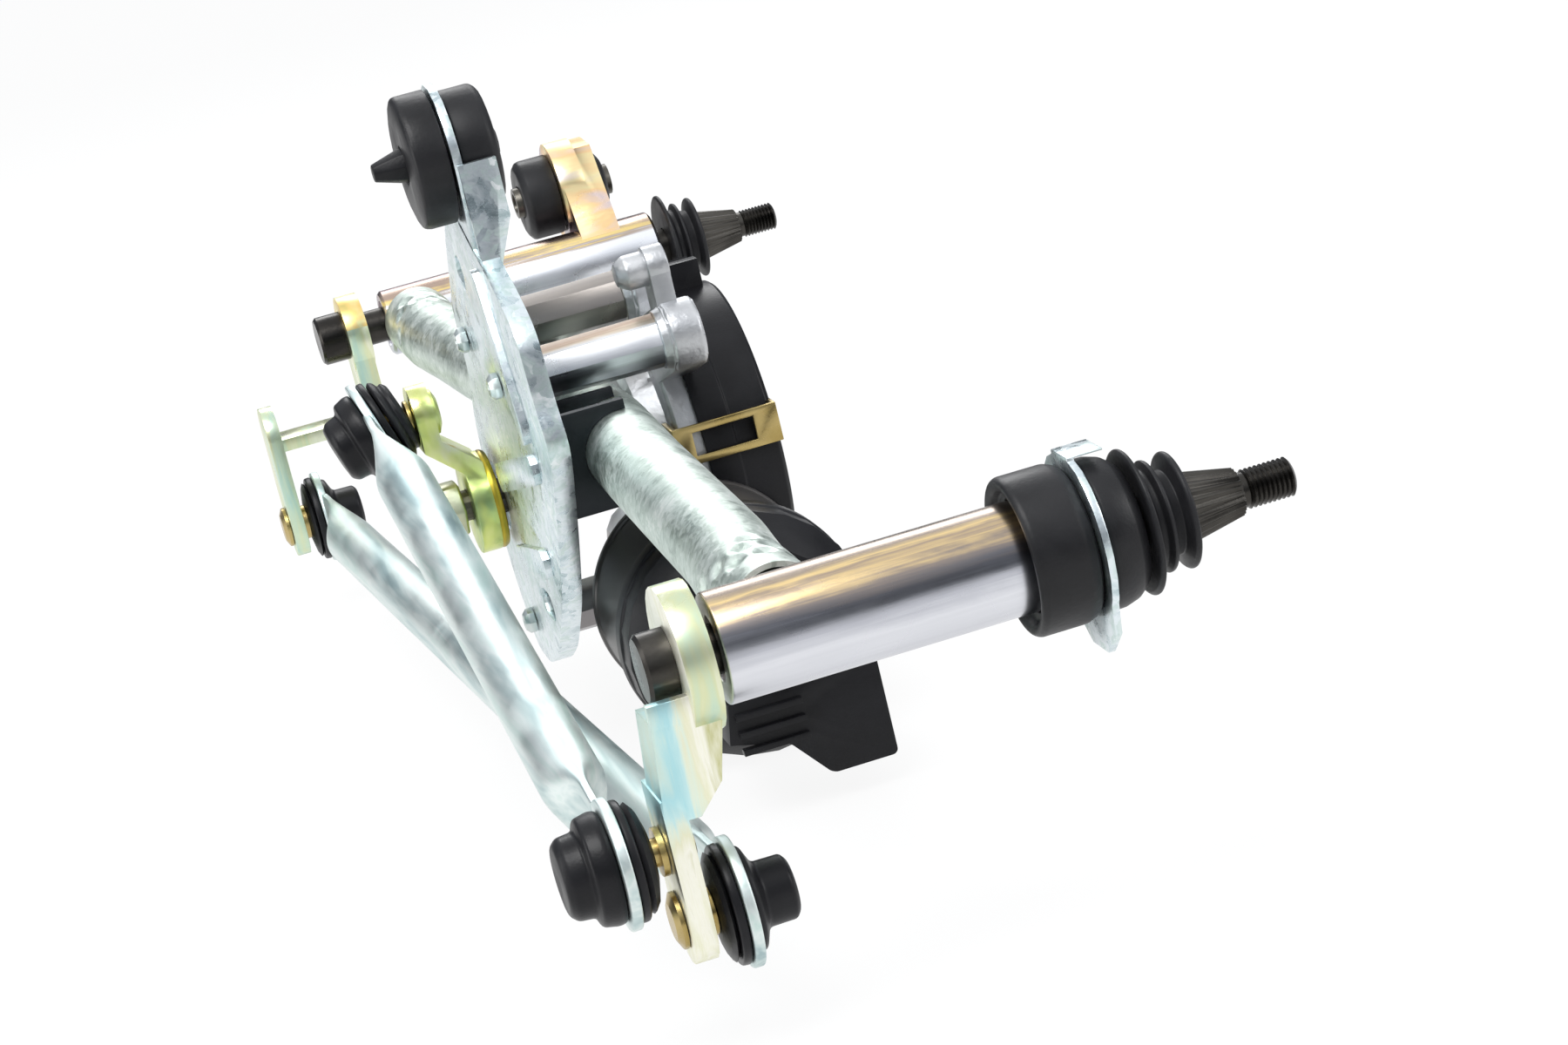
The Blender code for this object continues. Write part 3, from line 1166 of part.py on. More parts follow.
def crank(looks, parent):
    """Pieces that turn on the output axis; the arm points up."""
    half = OUTPUT_SHAFT_D / 2
    arm_front = CRANK_HUB_X - CRANK_THICKNESS / 2
    arm_back = CRANK_HUB_X + CRANK_THICKNESS / 2
    wheel_start = GEARBOX_BACK + GEARBOX_FLOOR + 0.6
    shaft = Body("output_shaft", revolve((
        (OUTPUT_SHAFT_TIP, 0.0), (OUTPUT_SHAFT_TIP, OUTPUT_THREAD_D / 2 - 1.0),
        (OUTPUT_SHAFT_TIP + 1.0, OUTPUT_THREAD_D / 2), (arm_front, OUTPUT_THREAD_D / 2),
        (arm_back, OUTPUT_THREAD_D / 2), (arm_back + FIT, half), (wheel_start + WHEEL_WIDTH + 2.0, half),
        (wheel_start + WHEEL_WIDTH + 3.0, half - 1.0), (wheel_start + WHEEL_WIDTH + 3.0, 0.0),
    ), MEDIUM))
    shaft.finish(looks["steel"], parent)

    teeth = []
    for step in range(WHEEL_TEETH * 2):
        radius = WHEEL_D / 2 - (WHEEL_TOOTH if step % 2 else 0.0)
        angle = step * math.pi / WHEEL_TEETH
        teeth.append((radius * math.cos(angle), radius * math.sin(angle)))
    wheel = Body("worm_wheel", prism(teeth, wheel_start, wheel_start + WHEEL_WIDTH))
    wheel.cut(revolve((
        (wheel_start + WHEEL_WIDTH - 2.5, 9.0), (wheel_start + WHEEL_WIDTH - 2.5, 17.5),
        (wheel_start + WHEEL_WIDTH + 2.0, 18.5), (wheel_start + WHEEL_WIDTH + 2.0, 8.0),
    ), MEDIUM, closed=True))
    wheel.cut(rod(wheel_start - 2.0, wheel_start + WHEEL_WIDTH + 2.0, OUTPUT_SHAFT_D + 2 * FIT))
    wheel.finish(looks["wheel"], parent)

    path = (
        (CRANK_HUB_X, 0.0), (CRANK_HUB_X, CRANK_STEP_START), (CRANK_END_X, CRANK_STEP_END),
        (CRANK_END_X, CRANK_RADIUS),
    )
    widths = (CRANK_HUB_D - 3.0, 23.0, CRANK_END_D - 0.5, CRANK_END_D - 0.5)
    arm = Body("crank_arm", bent_strip(path, CRANK_THICKNESS - PAD_STEP, widths))
    arm.add(rod(arm_front, arm_back, CRANK_HUB_D, FINE))
    end_front = CRANK_END_X - CRANK_THICKNESS / 2
    end_back = CRANK_END_X + CRANK_THICKNESS / 2
    arm.add(rod(end_front, end_back, CRANK_END_D, MEDIUM, at=(0, 0, CRANK_RADIUS)))
    arm.add(revolve((
        (end_back - 0.5, RIVET_HEAD_D / 2), (end_back + RIVET_HEAD * 0.5, RIVET_HEAD_D / 2),
        (end_back + RIVET_HEAD, RIVET_HEAD_D / 3),
    ), MEDIUM, at=(0, 0, CRANK_RADIUS)))
    arm.cut(rod(arm_front - 6.0, arm_back + 6.0, OUTPUT_THREAD_D + 2 * FIT))
    arm.finish(looks["chromate"], parent)

    washer_front = arm_front - FIT - WASHER_THICKNESS
    Body("crank_washer", revolve((
        (washer_front, OUTPUT_THREAD_D / 2 + FIT), (washer_front, CRANK_WASHER_D / 2),
        (arm_front - FIT, CRANK_WASHER_D / 2), (arm_front - FIT, OUTPUT_THREAD_D / 2 + FIT),
    ), MEDIUM, closed=True)).finish(looks["gold"], parent)
    nut_back = washer_front - FIT
    nut = Body("crank_nut", hexagon(nut_back - CRANK_NUT_HEIGHT + 1.0, nut_back, CRANK_NUT_FLATS))
    nut.bevel(0.7)
    nut.cut(rod(nut_back - CRANK_NUT_HEIGHT - 2.0, nut_back + 2.0, OUTPUT_THREAD_D + 2 * FIT))
    nut.finish(looks["gold"], parent)


def drive_rod(looks, parent, length):
    rod_with_eyes("drive_rod", length, DRIVE_NEAR_X, DRIVE_CRANK_X).finish(looks["zinc"], parent)
    near = (DRIVE_NEAR_X, 0, 0)
    far = (DRIVE_CRANK_X, length, 0)
    near_reach = NEAR_LEVER_FOOT_X - NEAR_LEVER_FOOT / 2 - DRIVE_NEAR_X
    far_reach = CRANK_END_X - CRANK_THICKNESS / 2 - DRIVE_CRANK_X
    for name, place, reach in (("drive_rod_near", near, near_reach), ("drive_rod_crank", far, far_reach)):
        Body(name + "_socket", socket(place, -1)).finish(looks["plastic"], parent)
        Body(name + "_boot", boot(place, -1, reach)).finish(looks["rubber"], parent)
    Body("crank_ball_stud", stud(far, -1, far_reach, 0.0)).finish(looks["gold"], parent)


def link_rod(looks, parent):
    rod_with_eyes("link_rod", PIVOT_SPACING, LINK_NEAR_X, LINK_FAR_X).finish(looks["zinc"], parent)
    near = (LINK_NEAR_X, 0, 0)
    far = (LINK_FAR_X, PIVOT_SPACING, 0)
    near_reach = LINK_NEAR_X - (NEAR_LEVER_FOOT_X + NEAR_LEVER_FOOT / 2)
    far_reach = LINK_FAR_X - (FAR_LEVER_FOOT_X + FAR_LEVER_THICKNESS / 2)
    for name, place, reach in (("link_rod_near", near, near_reach), ("link_rod_far", far, far_reach)):
        Body(name + "_socket", socket(place, 1)).finish(looks["plastic"], parent)
        Body(name + "_boot", boot(place, 1, reach)).finish(looks["rubber"], parent)


def wiper_shaft(name, looks, parent, shift, head):
    """The splined shaft with its seal cap; shift moves the lever end to -X, head is its length there."""
    half = SHAFT_D / 2
    hub_back = -LEVER_GAP - shift
    head_back = hub_back - HUB_THICKNESS - FIT
    body = Body(name + "_shaft", revolve((
        (head_back - head, 0.0), (head_back - head, SHAFT_HEAD_D / 2 - 1.5),
        (head_back - head + 1.5, SHAFT_HEAD_D / 2), (head_back, SHAFT_HEAD_D / 2), (head_back, half),
        (SPLINE_START - 0.4, half), (SPLINE_START - 0.4, 0.0),
    ), MEDIUM))
    body.add(toothed(SPLINE_START - 0.5, THREAD_START, SPLINE_D, SHAFT_D, SPLINE_DEPTH, SPLINE_TEETH))
    body.add(thread(THREAD_START - 0.5, SHAFT_TIP, THREAD_D, THREAD_PITCH, THREAD_DEPTH))
    body.finish(looks["steel"], parent)
    cap = SEAL_CAP_OD / 2
    lip = SEAL_LIP_OD / 2
    start = SEAL_CAP_START
    end = start + SEAL_CAP_LENGTH
    Body(name + "_seal_cap", revolve((
        (start, half + 6.0), (start, cap), (start + 1.2, cap), (start + 3.2, half + 6.5),
        (start + 4.6, half + 5.0),
        (start + 5.4, lip - 1.0), (start + 6.6, lip), (start + 7.6, lip - 0.6), (start + 8.6, half + 4.0),
        (end, half + 2.4), (end, half + FIT), (start + 3.0, half + FIT),
    ), MEDIUM, closed=True)).finish(looks["rubber"], parent)


def near_lever(looks, parent):
    wiper_shaft("near", looks, parent, 0.0, SHAFT_HEAD_LENGTH)
    hub_back = -LEVER_GAP
    hub_front = hub_back - HUB_THICKNESS
    body = Body("near_lever", rod(hub_front, hub_back, NEAR_LEVER_HUB_D, FINE))
    foot_front = NEAR_LEVER_FOOT_X - NEAR_LEVER_FOOT / 2
    foot_back = NEAR_LEVER_FOOT_X + NEAR_LEVER_FOOT / 2
    top = NEAR_CHANNEL_TOP
    bottom = NEAR_CHANNEL_BOTTOM
    half = LEVER_WIDTH / 2
    web = NEAR_WEB
    rings = []
    stations = (
        (top, NEAR_CHANNEL_LEFT, hub_back - PAD_STEP, half - PAD_STEP),
        (bottom, foot_front, NEAR_CHANNEL_FOOT_RIGHT, half - 1.5),
    )
    for z, left, right, wide in stations:
        depth = -wide + NEAR_CHANNEL_DEPTH
        rings.append([
            Vector((left, -wide, z)), Vector((right, -wide, z)), Vector((right, wide, z)),
            Vector((right - NEAR_PLATE, wide, z)), Vector((right - NEAR_PLATE, -wide + web, z)),
            Vector((left + web, -wide + web, z)), Vector((left + web, depth, z)), Vector((left, depth, z)),
        ])
    body.add(skin(rings))
    body.add(box((NEAR_CHANNEL_LEFT, -half, top - 1.0), (hub_back - 1.0, -half + web, NEAR_CHANNEL_LIP)))
    foot = [(-half + 1.5, bottom + 6.0), (half - 4.0, bottom + 6.0), (LEVER_END_D / 2, -LINK_RADIUS + 4.0)]
    for step in range(9):
        angle = -math.pi * step / 8
        foot.append((LEVER_END_D / 2 * math.cos(angle), -LINK_RADIUS + LEVER_END_D / 2 * math.sin(angle)))
    foot.append((-LEVER_END_D / 2 - 0.8, -LINK_RADIUS + 8.0))
    body.add(prism(foot, foot_front, foot_back))
    body.cut(prism(NEAR_CORNER, foot_back + FIT, hub_back + OVERRUN))
    body.cut(rod(hub_front - 6.0, hub_back + 6.0, SHAFT_D + 2 * FIT))
    for z in (-DRIVE_RADIUS, -LINK_RADIUS):
        body.cut(rod(foot_front - 4.0, foot_back + 4.0, STUD_SHANK_D, at=(0, 0, z)))
    body.finish(looks["chromate"], parent)
    drive_reach = foot_front - DRIVE_NEAR_X
    shape = stud((DRIVE_NEAR_X, 0, -DRIVE_RADIUS), -1, drive_reach, NEAR_LEVER_FOOT, FLAT_HEAD_D, FLAT_HEAD)
    Body("near_drive_stud", shape).finish(looks["gold"], parent)
    link_reach = LINK_NEAR_X - foot_back
    Body("near_link_stud", stud((LINK_NEAR_X, 0, -LINK_RADIUS), 1, link_reach, NEAR_LEVER_FOOT)).finish(
        looks["gold"], parent
    )


def far_lever(looks, parent):
    wiper_shaft("far", looks, parent, FAR_HUB_SHIFT, FAR_HEAD_LENGTH)
    hub_back = -LEVER_GAP - FAR_HUB_SHIFT
    hub_front = hub_back - HUB_THICKNESS
    hub_x = (hub_back + hub_front) / 2
    body = Body("far_lever", rod(hub_front, hub_back, FAR_LEVER_HUB_D, FINE))
    foot_front = FAR_LEVER_FOOT_X - FAR_LEVER_THICKNESS / 2
    foot_back = FAR_LEVER_FOOT_X + FAR_LEVER_THICKNESS / 2
    half = FAR_NECK_WIDTH / 2
    low = FAR_WEB_Z - FAR_LEVER_THICKNESS / 2
    high = FAR_WEB_Z + FAR_LEVER_THICKNESS / 2
    neck = [(-half, 0.0), (-half, high), (-half + 3.0, low), (half - 3.0, low), (half, high), (half, 0.0)]
    body.add(prism(neck, hub_front + PAD_STEP, hub_back - PAD_STEP))
    wide = FAR_WEB_WIDTH / 2
    body.add(box((foot_front + OVERRUN, -wide, low + PAD_STEP), (hub_back - OVERRUN, wide, high)))
    body.add(prism(bar_outline((0.0, FAR_BAR_TOP), (0.0, -LINK_RADIUS), LEVER_END_D, 8), foot_front, foot_back))
    body.cut(rod(hub_front - 6.0, hub_back + 6.0, SHAFT_D + 2 * FIT))
    body.cut(rod(foot_front - 4.0, foot_back + 4.0, STUD_SHANK_D, at=(0, 0, -LINK_RADIUS)))
    body.finish(looks["chromate"], parent)
    reach = LINK_FAR_X - foot_back
    Body("far_link_stud", stud((LINK_FAR_X, 0, -LINK_RADIUS), 1, reach, FAR_LEVER_THICKNESS)).finish(
        looks["gold"], parent
    )


def rest_on_ground(root):
    """Moves the whole assembly so that the middle of the bottom of its box is at the origin."""
    bpy.context.view_layer.update()
    points = []
    for found in bpy.context.scene.collection.objects:
        if found.type == "MESH":
            points += [found.matrix_world @ vertex.co for vertex in found.data.vertices]
    low = [min(point[axis] for point in points) for axis in range(3)]
    high = [max(point[axis] for point in points) for axis in range(3)]
    root.location = (-(low[0] + high[0]) / 2, -(low[1] + high[1]) / 2, -low[2])
    bpy.context.view_layer.update()


def build():
    for found in list(bpy.data.objects):
        bpy.data.objects.remove(found)
    looks = {
        "zinc": material("zinc_sheet", (0.62, 0.66, 0.70), 0.32, 1.0),
        "casting": material("iridescent_casting", (0.50, 0.48, 0.47), 0.30, 1.0),
        "aluminium": material("cast_aluminium", (0.66, 0.66, 0.66), 0.5, 1.0),
        "chromate": material("green_chromate", (0.55, 0.62, 0.36), 0.35, 1.0),
        "gold": material("gold_chromate", (0.72, 0.55, 0.22), 0.3, 1.0),
        "steel": material("dark_steel", (0.16, 0.15, 0.13), 0.35, 1.0),
        "rubber": material("black_rubber", (0.012, 0.012, 0.012), 0.75, 0.0),
        "plastic": material("black_plastic", (0.015, 0.015, 0.016), 0.45, 0.0),
        "can": material("black_paint", (0.012, 0.012, 0.013), 0.3, 0.0),
        "magnet": material("ferrite", (0.06, 0.06, 0.065), 0.6, 0.0),
        "carbon": material("carbon", (0.03, 0.03, 0.03), 0.6, 0.0),
        "bronze": material("bronze", (0.55, 0.36, 0.18), 0.4, 1.0),
        "brass": material("brass", (0.72, 0.55, 0.25), 0.3, 1.0),
        "core": material("lamination", (0.30, 0.30, 0.31), 0.5, 1.0),
        "copper": material("copper", (0.72, 0.32, 0.16), 0.35, 1.0),
        "wheel": material("pale_nylon", (0.72, 0.70, 0.62), 0.5, 0.0),
    }
    root = anchor("assembly_root")
    frame_tube(looks["zinc"], root)
    pivot_housings(looks["casting"], root)
    pivot_bushes(looks["bronze"], root)
    near_mount(looks["zinc"], looks["rubber"], root)
    far_mount(looks["steel"], looks["rubber"], root)
    motor_plate(looks["zinc"], root)
    top_mount(looks["rubber"], looks["plastic"], root)
    gearbox(looks["aluminium"], root)
    gear_cover(looks["plastic"], root)
    screws(looks["gold"], root)
    cover_clip(looks["gold"], root)
    output_bush(looks["bronze"], root)
    motor(looks, root)
    end_cap(looks, root)
    armature(looks, anchor("armature_axis", (MOTOR_AXIS_X, 0, MOTOR_AXIS_Z), root))
    crank(looks, anchor("crank_axis", (0, CRANK_AXIS_Y, CRANK_AXIS_Z), root))
    near = anchor("near_lever_axis", (0, 0, 0), root)
    near_lever(looks, near)
    rise = CRANK_AXIS_Z + CRANK_RADIUS + DRIVE_RADIUS
    length = math.hypot(CRANK_AXIS_Y, rise)
    drive = anchor("drive_rod_pivot", (0, 0, -DRIVE_RADIUS), near, math.atan2(rise, CRANK_AXIS_Y))
    drive_rod(looks, drive, length)
    link = anchor("link_rod_pivot", (0, 0, -LINK_RADIUS), near)
    link_rod(looks, link)
    far_lever(looks, anchor("far_lever_axis", (0, PIVOT_SPACING, 0), root))
    rest_on_ground(root)


build()
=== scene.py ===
"""Looks of the windshield wiper motor: finishes, fine pieces, studio and camera."""

import json
import math

import bmesh
import bpy
from mathutils import Matrix, Vector


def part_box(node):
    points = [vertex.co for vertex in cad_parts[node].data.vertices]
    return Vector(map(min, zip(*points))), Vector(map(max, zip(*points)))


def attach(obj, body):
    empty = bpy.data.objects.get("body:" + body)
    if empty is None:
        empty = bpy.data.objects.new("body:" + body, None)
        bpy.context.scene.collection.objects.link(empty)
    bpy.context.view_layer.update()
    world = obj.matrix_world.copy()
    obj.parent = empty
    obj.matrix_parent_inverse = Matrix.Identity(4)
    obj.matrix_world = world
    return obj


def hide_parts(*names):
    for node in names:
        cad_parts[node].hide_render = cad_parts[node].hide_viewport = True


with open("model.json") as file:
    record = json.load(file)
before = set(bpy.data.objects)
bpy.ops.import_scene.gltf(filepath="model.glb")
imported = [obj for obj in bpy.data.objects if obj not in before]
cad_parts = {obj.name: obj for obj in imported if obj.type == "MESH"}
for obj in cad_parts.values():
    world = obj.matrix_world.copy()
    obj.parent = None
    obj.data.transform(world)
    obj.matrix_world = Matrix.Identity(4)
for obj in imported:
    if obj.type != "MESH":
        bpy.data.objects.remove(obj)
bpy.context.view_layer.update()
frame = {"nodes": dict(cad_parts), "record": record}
nodes = frame["nodes"]

MM = 0.001

# The pivot frame: X along the near shaft from the end of its housing, Y towards the far pivot, Z up
near_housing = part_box("near_pivot_housing")
near_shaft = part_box("near_shaft")
ORIGIN = Vector((
    near_housing[0][0],
    (near_shaft[0][1] + near_shaft[1][1]) / 2,
    (near_shaft[0][2] + near_shaft[1][2]) / 2,
))

# Camera, in millimetres from the pivot frame's origin
CAMERA_PLACE = Vector((-145.344, -852.020, 253.083))
CAMERA_RIGHT = Vector((0.94199703, -0.24716166, -0.22705222))
CAMERA_UP = Vector((0.27839409, 0.19758081, 0.93992476))
CAMERA_BACK = Vector((-0.1874522, -0.94861633, 0.25492888))
CAMERA_LENS = 90.0
SENSOR_WIDTH = 36.0

# Places of the pivot frame, in millimetres
PIVOT_SPACING = 500.0
CRANK_AXIS = (0.0, 308.0, -25.0)
CRANK_BALL = (-31.5, 308.0, 5.2)
CRANK_LEAN = -17.0
NEAR_DRIVE_BALL = (-34.0, 0.0, -43.0)
NEAR_LINK_BALL = (-8.5, 0.0, -60.5)
FAR_LINK_BALL = (-38.0, PIVOT_SPACING, -60.5)
MOTOR_END = (46.0, 204.0, -59.0)


def at(x, y, z):
    """A point of the pivot frame, given in millimetres, in the row frame."""
    return ORIGIN + Vector((x, y, z)) * MM


# Shader groups: each gives only colours, masks and normals


def new_group(name, sockets_in, sockets_out):
    group = bpy.data.node_groups.new(name, "ShaderNodeTree")
    for label, kind, value in sockets_in:
        made = group.interface.new_socket(label, in_out="INPUT", socket_type=kind)
        made.default_value = value
    for label, kind in sockets_out:
        group.interface.new_socket(label, in_out="OUTPUT", socket_type=kind)
    entry = group.nodes.new("NodeGroupInput")
    leave = group.nodes.new("NodeGroupOutput")
    return group, entry, leave


def add_noise(tree, vector, scale, detail=3.0, roughness=0.55, distortion=0.0):
    found = tree.nodes.new("ShaderNodeTexNoise")
    found.inputs["Scale"].default_value = scale
    found.inputs["Detail"].default_value = detail
    found.inputs["Roughness"].default_value = roughness
    found.inputs["Distortion"].default_value = distortion
    tree.links.new(vector, found.inputs["Vector"])
    return found


def add_ramp(tree, value, stops):
    found = tree.nodes.new("ShaderNodeValToRGB")
    ramp = found.color_ramp
    while len(ramp.elements) < len(stops):
        ramp.elements.new(0.5)
    for element, (place, colour) in zip(ramp.elements, stops):
        element.position = place
        element.color = (*colour, 1.0)
    tree.links.new(value, found.inputs["Fac"])
    return found


def add_map(tree, value, low, high, to_low, to_high):
    found = tree.nodes.new("ShaderNodeMapRange")
    for label, number in (
        ("From Min", low), ("From Max", high), ("To Min", to_low), ("To Max", to_high),
    ):
        found.inputs[label].default_value = number
    tree.links.new(value, found.inputs["Value"])
    return found


def add_bump(tree, height, strength, distance):
    found = tree.nodes.new("ShaderNodeBump")
    found.inputs["Strength"].default_value = strength
    found.inputs["Distance"].default_value = distance
    tree.links.new(height, found.inputs["Height"])
    return found


def stretched(tree, scale):
    """Object coordinates stretched by a scale along each axis."""
    place = tree.nodes.new("ShaderNodeTexCoord")
    mapping = tree.nodes.new("ShaderNodeMapping")
    mapping.inputs["Scale"].default_value = scale
    tree.links.new(place.outputs["Object"], mapping.inputs["Vector"])
    return mapping.outputs["Vector"]


def make_grime_group():
    """Fine grain and soft stains that every finish shares."""
    group, entry, leave = new_group(
        "grain_and_stains",
        (("Grain", "NodeSocketFloat", 900.0), ("Stain", "NodeSocketFloat", 45.0)),
        (("Grain", "NodeSocketFloat"), ("Stain", "NodeSocketFloat")),
    )
    place = group.nodes.new("ShaderNodeTexCoord")
    grain = group.nodes.new("ShaderNodeTexNoise")
    grain.inputs["Detail"].default_value = 4.0
    stain = group.nodes.new("ShaderNodeTexNoise")
    stain.inputs["Detail"].default_value = 5.0
    stain.inputs["Distortion"].default_value = 0.6
    for noise, label in ((grain, "Grain"), (stain, "Stain")):
        group.links.new(place.outputs["Object"], noise.inputs["Vector"])
        group.links.new(entry.outputs[label], noise.inputs["Scale"])
        group.links.new(noise.outputs["Fac"], leave.inputs[label])
    return group


GRIME = make_grime_group()


def start_material(name, grain, stain):
    """A material with its shader and the shared grain and stain masks."""
    found = bpy.data.materials.new(name)
    found.use_nodes = True
    tree = found.node_tree
    shader = tree.nodes["Principled BSDF"]
    grime = tree.nodes.new("ShaderNodeGroup")
    grime.node_tree = GRIME
    grime.inputs["Grain"].default_value = grain
    grime.inputs["Stain"].default_value = stain
    return found, tree, shader, grime


def add_math(tree, operation, first, second):
    found = tree.nodes.new("ShaderNodeMath")
    found.operation = operation
    tree.links.new(first, found.inputs[0])
    tree.links.new(second, found.inputs[1])
    return found.outputs["Value"]


def set_surface(tree, shader, colour, wear, rough, relief, metallic=1.0):
    """Links a colour, a roughness that follows the wear mask, and a relief to the shader."""
    shine = add_map(tree, wear, *MASK_SPAN, *rough)
    tree.links.new(colour.outputs["Color"], shader.inputs["Base Color"])
    tree.links.new(shine.outputs["Result"], shader.inputs["Roughness"])
    tree.links.new(relief.outputs["Normal"], shader.inputs["Normal"])
    shader.inputs["Metallic"].default_value = metallic


MASK_SPAN = (0.3, 0.7)
CRYSTAL_WARP = 0.008
CRYSTAL_SHARE = 0.2


def zinc_material(name, tones, spangle, rough):
    """Bright passivated zinc: clouds and crystals between its tones."""
    found, tree, shader, grime = start_material(name, 1400.0, 60.0)
    vector = stretched(tree, (1.0, 1.0, 1.0))
    cloud = add_noise(tree, vector, 70.0, 5.0, 0.62, 0.8)
    small = tree.nodes.new("ShaderNodeVectorMath")
    small.operation = "SCALE"
    small.inputs["Scale"].default_value = CRYSTAL_WARP
    warp = tree.nodes.new("ShaderNodeVectorMath")
    warp.operation = "ADD"
    crystals = tree.nodes.new("ShaderNodeTexVoronoi")
    crystals.inputs["Scale"].default_value = spangle
    single = tree.nodes.new("ShaderNodeSeparateColor")
    both = tree.nodes.new("ShaderNodeMix")
    both.data_type = "FLOAT"
    both.inputs["Factor"].default_value = CRYSTAL_SHARE
    tree.links.new(cloud.outputs["Color"], small.inputs[0])
    tree.links.new(vector, warp.inputs[0])
    tree.links.new(small.outputs["Vector"], warp.inputs[1])
    tree.links.new(warp.outputs["Vector"], crystals.inputs["Vector"])
    tree.links.new(crystals.outputs["Color"], single.inputs["Color"])
    tree.links.new(cloud.outputs["Fac"], both.inputs["A"])
    tree.links.new(single.outputs["Red"], both.inputs["B"])
    colour = add_ramp(tree, both.outputs["Result"], tones)
    relief = add_bump(tree, grime.outputs["Grain"], 0.12, 0.0004)
    set_surface(tree, shader, colour, both.outputs["Result"], rough, relief)
    return found


def banded_material(name, tones, direction, rough):
    """Drawn metal with coloured passivation streaks; the streaks run where direction is small."""
    found, tree, shader, grime = start_material(name, 1800.0, 40.0)
    streak = add_noise(tree, stretched(tree, direction), 1.0, 3.0, 0.6, 0.35)
    colour = add_ramp(tree, streak.outputs["Fac"], tones)
    lines = add_noise(tree, stretched(tree, tuple(60.0 * part for part in direction)), 1.0, 2.0)
    relief = add_bump(tree, lines.outputs["Fac"], 0.08, 0.0003)
    set_surface(tree, shader, colour, grime.outputs["Stain"], (rough - 0.06, rough + 0.14), relief)
    return found


def plain_material(
    name, colours, rough, metallic, grain=900.0, bump=0.15, depth=0.0003, stain=45.0, sheen=0.5
):
    """One finish between two tones, with fine grain."""
    found, tree, shader, grime = start_material(name, grain, stain)
    colour = add_ramp(tree, grime.outputs["Stain"], tuple(zip(MASK_SPAN, colours)))
    relief = add_bump(tree, grime.outputs["Grain"], bump, depth)
    set_surface(tree, shader, colour, grime.outputs["Stain"], rough, relief, metallic)
    shader.inputs["Specular IOR Level"].default_value = sheen
    return found


def around_material(name, centre, stops, rough=(0.2, 0.34), warp=0.05):
    """Turned metal about a line along X, whose tones change round it in long uneven streaks; each
    stop sits at a set side round the line, so the stops paint reflection, highlight and shade on
    that side as well as the metal's colour.
    """
    found, tree, shader, grime = start_material(name, 1800.0, 40.0)
    place = tree.nodes.new("ShaderNodeTexCoord")
    centred = tree.nodes.new("ShaderNodeVectorMath")
    centred.operation = "SUBTRACT"
    centred.inputs[1].default_value = at(0.0, *centre)
    split = tree.nodes.new("ShaderNodeSeparateXYZ")
    tree.links.new(place.outputs["Object"], centred.inputs[0])
    tree.links.new(centred.outputs["Vector"], split.inputs["Vector"])
    angle = add_math(tree, "ARCTAN2", split.outputs["Z"], split.outputs["Y"])
    share = add_map(tree, angle, -math.pi, math.pi, 0.0, 1.0)
    streak = add_noise(tree, stretched(tree, (5.0, 230.0, 230.0)), 1.0, 4.0, 0.6, 0.2)
    cloud = add_noise(tree, stretched(tree, (26.0, 90.0, 90.0)), 1.0, 4.0, 0.6, 0.4)
    wander = add_map(tree, streak.outputs["Fac"], *MASK_SPAN, -warp, warp)
    drift = add_map(tree, cloud.outputs["Fac"], *MASK_SPAN, -warp * 0.5, warp * 0.5)
    once = add_math(tree, "ADD", share.outputs["Result"], wander.outputs["Result"])
    colour = add_ramp(tree, add_math(tree, "ADD", once, drift.outputs["Result"]), stops)
    fine = add_noise(tree, stretched(tree, (120.0, 4200.0, 4200.0)), 1.0, 2.0)
    relief = add_bump(tree, fine.outputs["Fac"], 0.06, 0.0002)
    set_surface(tree, shader, colour, grime.outputs["Stain"], rough, relief)
    return found


FADED_SHARE = 0.76
WEB_WANDER = 0.14


def across_material(name, span, fade, stops, rough):
    """Passivated sheet: its tones change along X over the span and fade along Z, in millimetres; a
    bright stop paints a highlight along the strip of X where it falls.
    """
    found, tree, shader, grime = start_material(name, 1600.0, 40.0)
    place = tree.nodes.new("ShaderNodeTexCoord")
    split = tree.nodes.new("ShaderNodeSeparateXYZ")
    tree.links.new(place.outputs["Object"], split.inputs["Vector"])
    left, right = (at(x, 0.0, 0.0).x for x in span)
    low, high = (at(0.0, 0.0, z).z for z in fade)
    share = add_map(tree, split.outputs["X"], left, right, 0.0, 1.0)
    height = add_map(tree, split.outputs["Z"], low, high, FADED_SHARE, 0.0)
    wide = add_math(tree, "MAXIMUM", share.outputs["Result"], height.outputs["Result"])
    streak = add_noise(tree, stretched(tree, (260.0, 90.0, 30.0)), 1.0, 5.0, 0.65, 0.6)
    wander = add_map(tree, streak.outputs["Fac"], *MASK_SPAN, -WEB_WANDER, WEB_WANDER)
    colour = add_ramp(tree, add_math(tree, "ADD", wide, wander.outputs["Result"]), stops)
    relief = add_bump(tree, grime.outputs["Grain"], 0.1, 0.0003)
    set_surface(tree, shader, colour, grime.outputs["Stain"], rough, relief)
    return found


